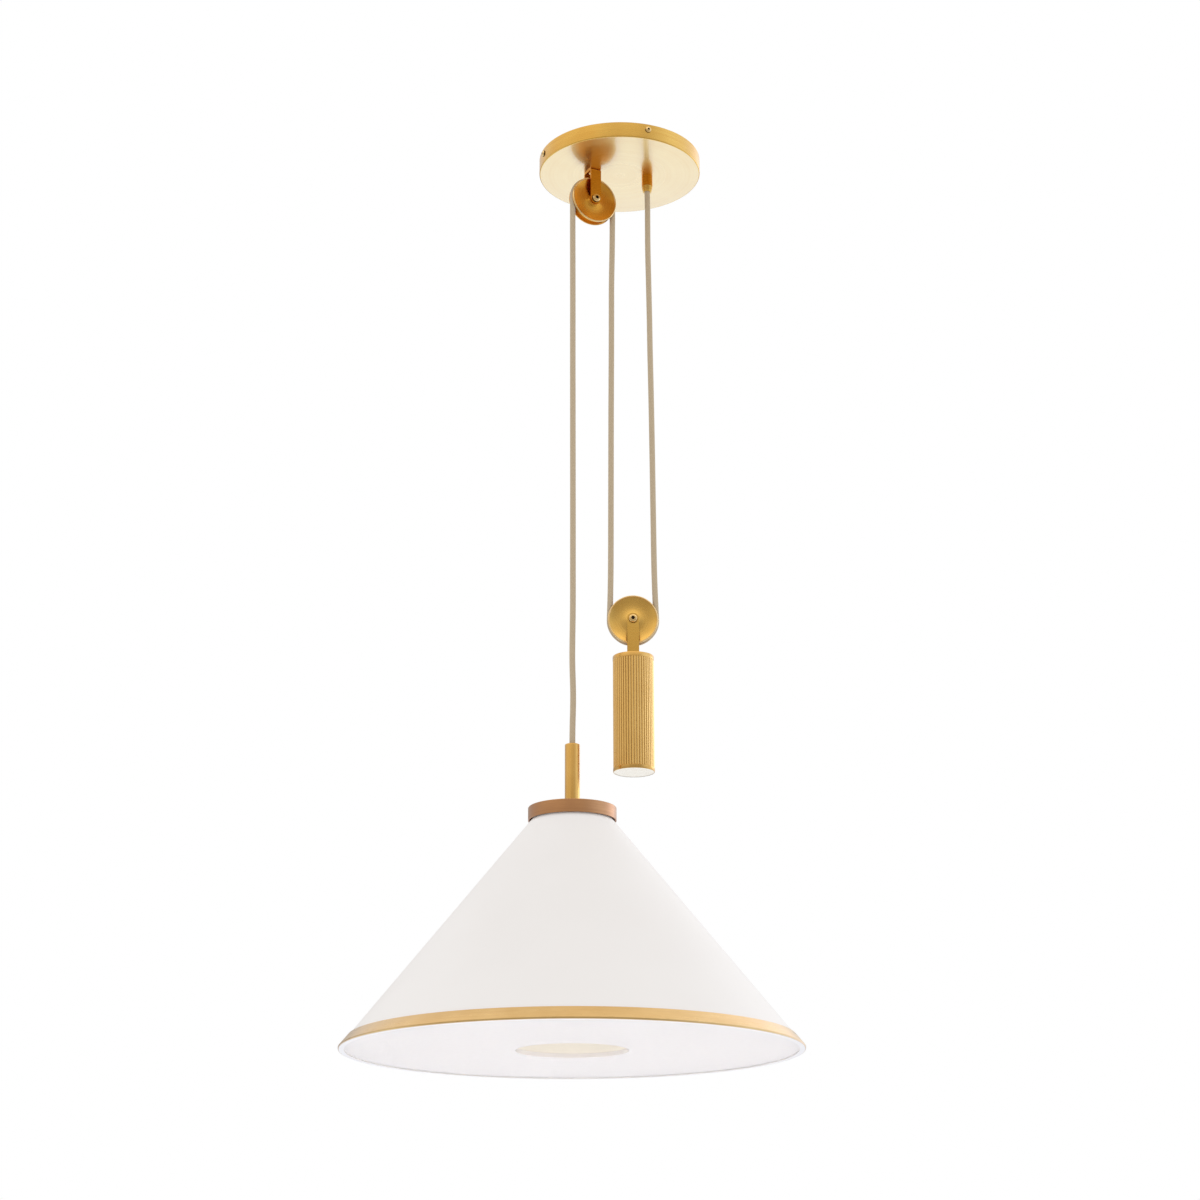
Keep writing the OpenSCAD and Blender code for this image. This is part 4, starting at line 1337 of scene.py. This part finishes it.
@dataclass(frozen=True)
class WovenCord:
    """The fabric-covered cord, in lengths that meet face to face.

    A wave holds points down a strand: the share of the way, and how far it stands to the right.
    """

    layout: Layout
    diameter: float = 6.8
    sides: int = 40
    ring_mm: float = 0.6
    relief_mm: float = 0.16
    travel: float = 425.0
    fixed_wave: Wave = (
        (0, 0), (0.04, 0), (0.08, -0.3), (0.14, -0.7), (0.22, -0.6), (0.3, -0.5),
        (0.38, -0.6), (0.46, -0.5), (0.54, -0.5), (0.62, -0.6), (0.7, -0.8), (0.78, -1),
        (0.86, -1.2), (0.92, -1), (0.97, -0.4), (1, 0),
    )
    middle_wave: Wave = (
        (0, 0), (0.06, 0), (0.12, -0.1), (0.2, -0.5), (0.28, -0.3), (0.36, -0.1),
        (0.44, 0), (0.52, 0.1), (0.6, 0.3), (0.68, 0.5), (0.76, 0.7), (0.84, 0.9),
        (0.9, 0.9), (0.95, 0.6), (0.98, 0.2), (1, 0),
    )
    lamp_wave: Wave = (
        (0, 0), (0.05, 0), (0.12, 0.1), (0.2, 0.2), (0.3, 0.2), (0.4, 0.3), (0.5, 0.4),
        (0.6, 0.5), (0.68, 0.5), (0.76, 0.5), (0.82, 0), (0.86, -0.1), (0.91, 0.8),
        (0.94, 0.7), (0.97, 0.2), (1, 0),
    )

    def build(self) -> None:
        """Builds the five lengths that show, and dresses the two that don't."""
        lay = self.layout
        reach = Vector((lay.pitch_r, 0, 0))
        foot = Vector((lay.lamp_top.x, lay.lamp_top.y, lay.stem_top_z))
        for name, top, bottom, wave in (
            ("cord_fixed", lay.grip_tip, lay.lower_centre + reach, self.fixed_wave),
            ("cord_middle", lay.middle_top, lay.lower_centre - reach, self.middle_wave),
        ):
            piece, _ = self.strand(name, top, bottom, wave, "canopy")
            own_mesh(piece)
        piece, route = self.strand("cord_lamp", lay.lamp_top, foot, self.lamp_wave, None)
        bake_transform(piece)
        over = self.half_turn(lay.upper_centre, lay.upper_turn, 0)
        self.sleeve("cord_upper_braid", over, "canopy", "cord_upper_wrap")
        under = self.half_turn(lay.lower_centre, 0, 180)
        self.sleeve("cord_lower_braid", under, "cord_loop", "cord_lower_loop")
        dress_nodes(NYLON, "cord_in_grip", "cord_in_stem")

    def strand(
        self, name: str, top: Vector, bottom: Vector, wave: Wave, body: str | None
    ) -> tuple[Piece, Route]:
        """Builds a plumb length of cord with its slight bows.

        Args:
            name: The start of the names of the piece and of its CAD node.
            top: Its upper end in millimetres.
            bottom: Its lower end.
            wave: Its bows.
            body: The body that carries it, or None where two share it.

        Returns:
            The piece and its centreline in metres.
        """
        knots = [(top + (bottom - top) * s + Vector((x, 0, 0))) * MM for s, x in wave]
        route = self.curve_through(knots)
        return self.sleeve(f"{name}_braid", route, body, f"{name}_strand"), route

    def half_turn(self, centre: Vector, turn_angle: float, start: float) -> Route:
        """Runs half a turn round a pulley.

        Args:
            centre: The pulley's centre in millimetres.
            turn_angle: The pulley's turn about the vertical in degrees.
            start: The angle at which the half turn starts.

        Returns:
            The centreline in metres.
        """
        place = pulley_place(centre, turn_angle)
        steps = round(math.pi * self.layout.pitch_r / self.ring_mm)
        points = arc((0, 0), self.layout.pitch_r, start, start + 180, steps)
        return [place @ Vector((x * MM, y * MM, 0)) for x, y in points]

    def curve_through(self, knots: Route) -> Route:
        """A smooth line through points, by Catmull and Rom's rule.

        Args:
            knots: The points.

        Returns:
            Points about a ring's spacing apart.
        """
        padded = [2 * knots[0] - knots[1], *knots, 2 * knots[-1] - knots[-2]]
        line = [knots[0]]
        for a, b, c, d in zip(padded, padded[1:], padded[2:], padded[3:]):
            steps = max(2, round((c - b).length / (self.ring_mm * MM)))
            square, cube = 2 * a - 5 * b + 4 * c - d, 3 * b - a - 3 * c + d
            for t in (i / steps for i in range(1, steps + 1)):
                line.append(0.5 * (2 * b + (c - a) * t + square * t**2 + cube * t**3))
        return line

    def sleeve(self, name: str, route: Route, body: str | None, node: str) -> Piece:
        """Args:
            name: The piece's name.
            route: The centreline in metres.
            body: The body that carries it, or None where two share it.
            node: The CAD node that it stands for.

        Returns:
            The piece.
        """
        points = np.array(route)
        run = np.concatenate([[0], np.cumsum(np.linalg.norm(np.diff(points, axis=0), axis=1))])
        mesh = bpy.data.meshes.new(name)
        rings, n = len(points), self.sides
        ring, k = np.meshgrid(np.arange(rings - 1), np.arange(n), indexing="ij")
        a, b = (ring * n + k).ravel(), (ring * n + (k + 1) % n).ravel()
        quads = np.stack([a, b, b + n, a + n], axis=1)
        ends = [list(range(n))[::-1], [(rings - 1) * n + i for i in range(n)]]
        mesh.from_pydata(self.corners(points, run).tolist(), [], [*quads.tolist(), *ends])
        coords = np.zeros((len(mesh.loops), 2), np.float32)
        coords[:quads.size, 0] = np.stack([k, k + 1, k + 1, k], axis=-1).reshape(-1) / n
        heights = np.stack([ring, ring, ring + 1, ring + 1], axis=-1).reshape(-1)
        coords[:quads.size, 1] = run[heights] / (math.pi * self.diameter * MM)
        mesh.uv_layers.new(name="UVMap").data.foreach_set("uv", coords.ravel())
        piece = bpy.data.objects.new(name, mesh)
        bpy.context.scene.collection.objects.link(piece)
        only(piece)
        bpy.ops.object.mode_set(mode="EDIT")
        bpy.ops.mesh.select_all(action="SELECT")
        bpy.ops.mesh.normals_make_consistent(inside=False)
        bpy.ops.object.mode_set(mode="OBJECT")
        smooth(piece, 60)
        install(piece, COTTON, body, (node,))
        return piece

    def corners(self, points: np.ndarray, run: np.ndarray) -> np.ndarray:
        """Places rings of points round the centreline, the crossing yarns in relief.

        Args:
            points: The centreline in metres.
            run: The length of cord up to each point.

        Returns:
            The sleeve's corners, ring by ring.
        """
        ahead = np.gradient(points, axis=0)
        ahead /= np.linalg.norm(ahead, axis=1)[:, None]
        side = np.cross(ahead[0], (0.0, 1.0, 0.0))
        sides = []
        for direction in ahead:
            side = side - direction * (side @ direction)
            side /= np.linalg.norm(side)
            sides.append(side)
        first = np.array(sides)
        second = np.cross(ahead, first)
        angles = np.arange(self.sides) / self.sides * math.tau
        around = angles[None, :] / math.tau
        along = run[:, None] / (math.pi * self.diameter * MM)
        over, under = (around + along) * COTTON.yarns, (around - along) * COTTON.yarns
        on_top = (np.floor(over) + np.floor(under)) % 2 == 0
        crown = np.where(on_top, np.sin(np.pi * (over % 1)), np.sin(np.pi * (under % 1)))
        reach = (self.diameter / 2 + self.relief_mm * (crown - 1)) * MM
        return (
            points[:, None, :]
            + reach[..., None] * np.cos(angles)[None, :, None] * first[:, None, :]
            + reach[..., None] * np.sin(angles)[None, :, None] * second[:, None, :]
        ).reshape(-1, 3)


@dataclass(frozen=True)
class Studio:
    """A pale floor, soft light and the camera at the photograph's angle."""

    focal_px: float = 2425.8
    frame_px: float = 1200.0
    sensor_mm: float = 36.0
    camera_mm: Point = (-25.7, -2686.5, -1435.5)
    pitch: float = 17.871
    roll: float = -0.171
    clip_m: float = 100.0
    floor_z: float = -6000.0
    floor_m: float = 96.0
    box_watts: float = 5.0
    box_size_mm: tuple[float, float] = (1600.0, 600.0)
    box_place_mm: Point = (2200.0, 1450.0, -80.0)
    box_target_mm: Point = (-50.0, 0.0, -700.0)
    front_light: float = 0.95
    back_light: float = 1.25
    cool: str = "#D6E4FF"

    def build(self) -> None:
        """Builds the camera, the world, the light and the floor."""
        self.build_camera()
        self.build_world()
        self.build_light()
        self.build_floor()
        bpy.context.scene.view_settings.view_transform = "Standard"

    def build_camera(self) -> None:
        """Puts the camera below the lamp, looking slightly up."""
        data = bpy.data.cameras.new("camera")
        data.sensor_width = self.sensor_mm
        data.lens = self.focal_px / self.frame_px * self.sensor_mm
        data.clip_end = self.clip_m
        camera = bpy.data.objects.new("camera", data)
        bpy.context.scene.collection.objects.link(camera)
        tilt = Matrix.Rotation(math.radians(90 + self.pitch), 4, "X")
        spin = Matrix.Rotation(math.radians(self.roll), 4, "Z")
        camera.matrix_world = Matrix.Translation(Vector(self.camera_mm) * MM) @ tilt @ spin
        bpy.context.scene.camera = camera

    def build_world(self) -> None:
        """A white room, dimmer in mirrors towards the camera and brighter above and behind."""
        world = bpy.data.worlds.new("studio")
        bpy.context.scene.world = world
        world.use_nodes = True
        tree = world.node_tree
        tree.nodes.clear()
        direction = add_node(tree, "TexCoord").outputs["Generated"]
        split = add_node(tree, "SeparateXYZ", {"Vector": direction}).outputs
        # A name, the axis along which it grows, from where to where, and its two values. All
        # but depth shape only what metal mirrors.
        parts = {
            name: add_node(
                tree,
                "MapRange",
                {"Value": split[axis], "From Min": start, "From Max": end, "To Min": low,
                 "To Max": high},
                interpolation_type="SMOOTHSTEP",
            )
            for name, axis, start, end, low, high in (
                ("height", "Z", 0.15, 0.5, 0.54, 0.97),
                ("right", "X", 0.5, 1.0, 0.0, 1.0),
                ("left", "X", -0.2, -0.6, 0.0, 0.18),
                ("behind", "Y", 0.1, 0.8, 0.0, -0.16),
                ("above", "Z", 0.5, 0.8, 0.0, 0.25),
                ("aside", "X", 0.1, 0.55, 0.0, 1.0),
                ("beyond", "Y", 0.2, 0.9, 0.0, 1.0),
                ("high", "Z", 0.5, 0.8, 0.0, 0.6),
                ("near", "Y", -0.1, -0.5, 0.0, 1.0),
                ("cool", "X", 0.3, 0.9, 0.0, 1.0),
                ("depth", "Y", -0.3, 1.0, self.front_light, self.back_light),
            )
        }
        path = add_node(tree, "LightPath").outputs
        parts["glossy"] = path["Is Glossy Ray"]
        for name, one, other in (
            ("corner", "above", "aside"),
            ("edge", "beyond", "aside"),
            ("top", "high", "near"),
            ("seen", "cool", "glossy"),
        ):
            pair = {0: parts[one], 1: parts[other]}
            parts[name] = add_node(tree, "Math", pair, operation="MULTIPLY")
        mirrored = parts["height"]
        for name in ("right", "left", "behind", "corner", "edge", "top"):
            mirrored = add_node(tree, "Math", {0: mirrored, 1: parts[name]}, operation="ADD")
        strength = parts["depth"]
        for ray, level in (("Glossy", mirrored), ("Transmission", 1.0), ("Camera", 1.0)):
            sockets = {0: path[f"Is {ray} Ray"], 2: strength, 3: level}
            strength = add_node(tree, "Mix", sockets)
        tints = {0: parts["seen"], 6: WHITE, 7: linear(self.cool)}
        tint = add_node(tree, "Mix", tints, data_type="RGBA").outputs[2]
        sky = add_node(tree, "Background", {"Color": tint, "Strength": strength})
        add_node(tree, "OutputWorld", {"Surface": sky})

    def build_light(self) -> None:
        """A soft box behind on the right, which lights the right-hand edges."""
        data = bpy.data.lights.new("soft_box", "AREA")
        data.shape = "RECTANGLE"
        data.size, data.size_y = (side * MM for side in self.box_size_mm)
        data.energy = self.box_watts
        light = bpy.data.objects.new("soft_box", data)
        bpy.context.scene.collection.objects.link(light)
        light.location = Vector(self.box_place_mm) * MM
        way = Vector(self.box_target_mm) * MM - light.location
        light.rotation_euler = way.to_track_quat("-Z", "Y").to_euler()

    def build_floor(self) -> None:
        """A plain pale floor, well below the lamp's lowest place."""
        deselect()
        bpy.ops.mesh.primitive_plane_add(size=self.floor_m, location=(0, 0, self.floor_z * MM))
        floor = bpy.context.object
        floor.name = "floor"
        floor.data.materials.append(SWEEP.material())


def main() -> None:
    """Builds the studio and the cord, then the lamp from the ceiling down."""
    layout = Layout()
    Studio().build()
    WovenCord(layout).build()
    Canopy().build()
    Pulley(
        layout,
        "upper_wheel",
        layout.upper_centre,
        layout.upper_turn,
        "upper_axle_bolt",
        "canopy",
        colour="#E5A438",
        toned="#CA7F1C",
    ).build()
    Pulley(
        layout, "lower_wheel", layout.lower_centre, 0.0, "lower_axle_bolt", "counterweight"
    ).build()
    Counterweight(layout).build()
    Lamp(layout).build()


if __name__ == "__main__":
    main()
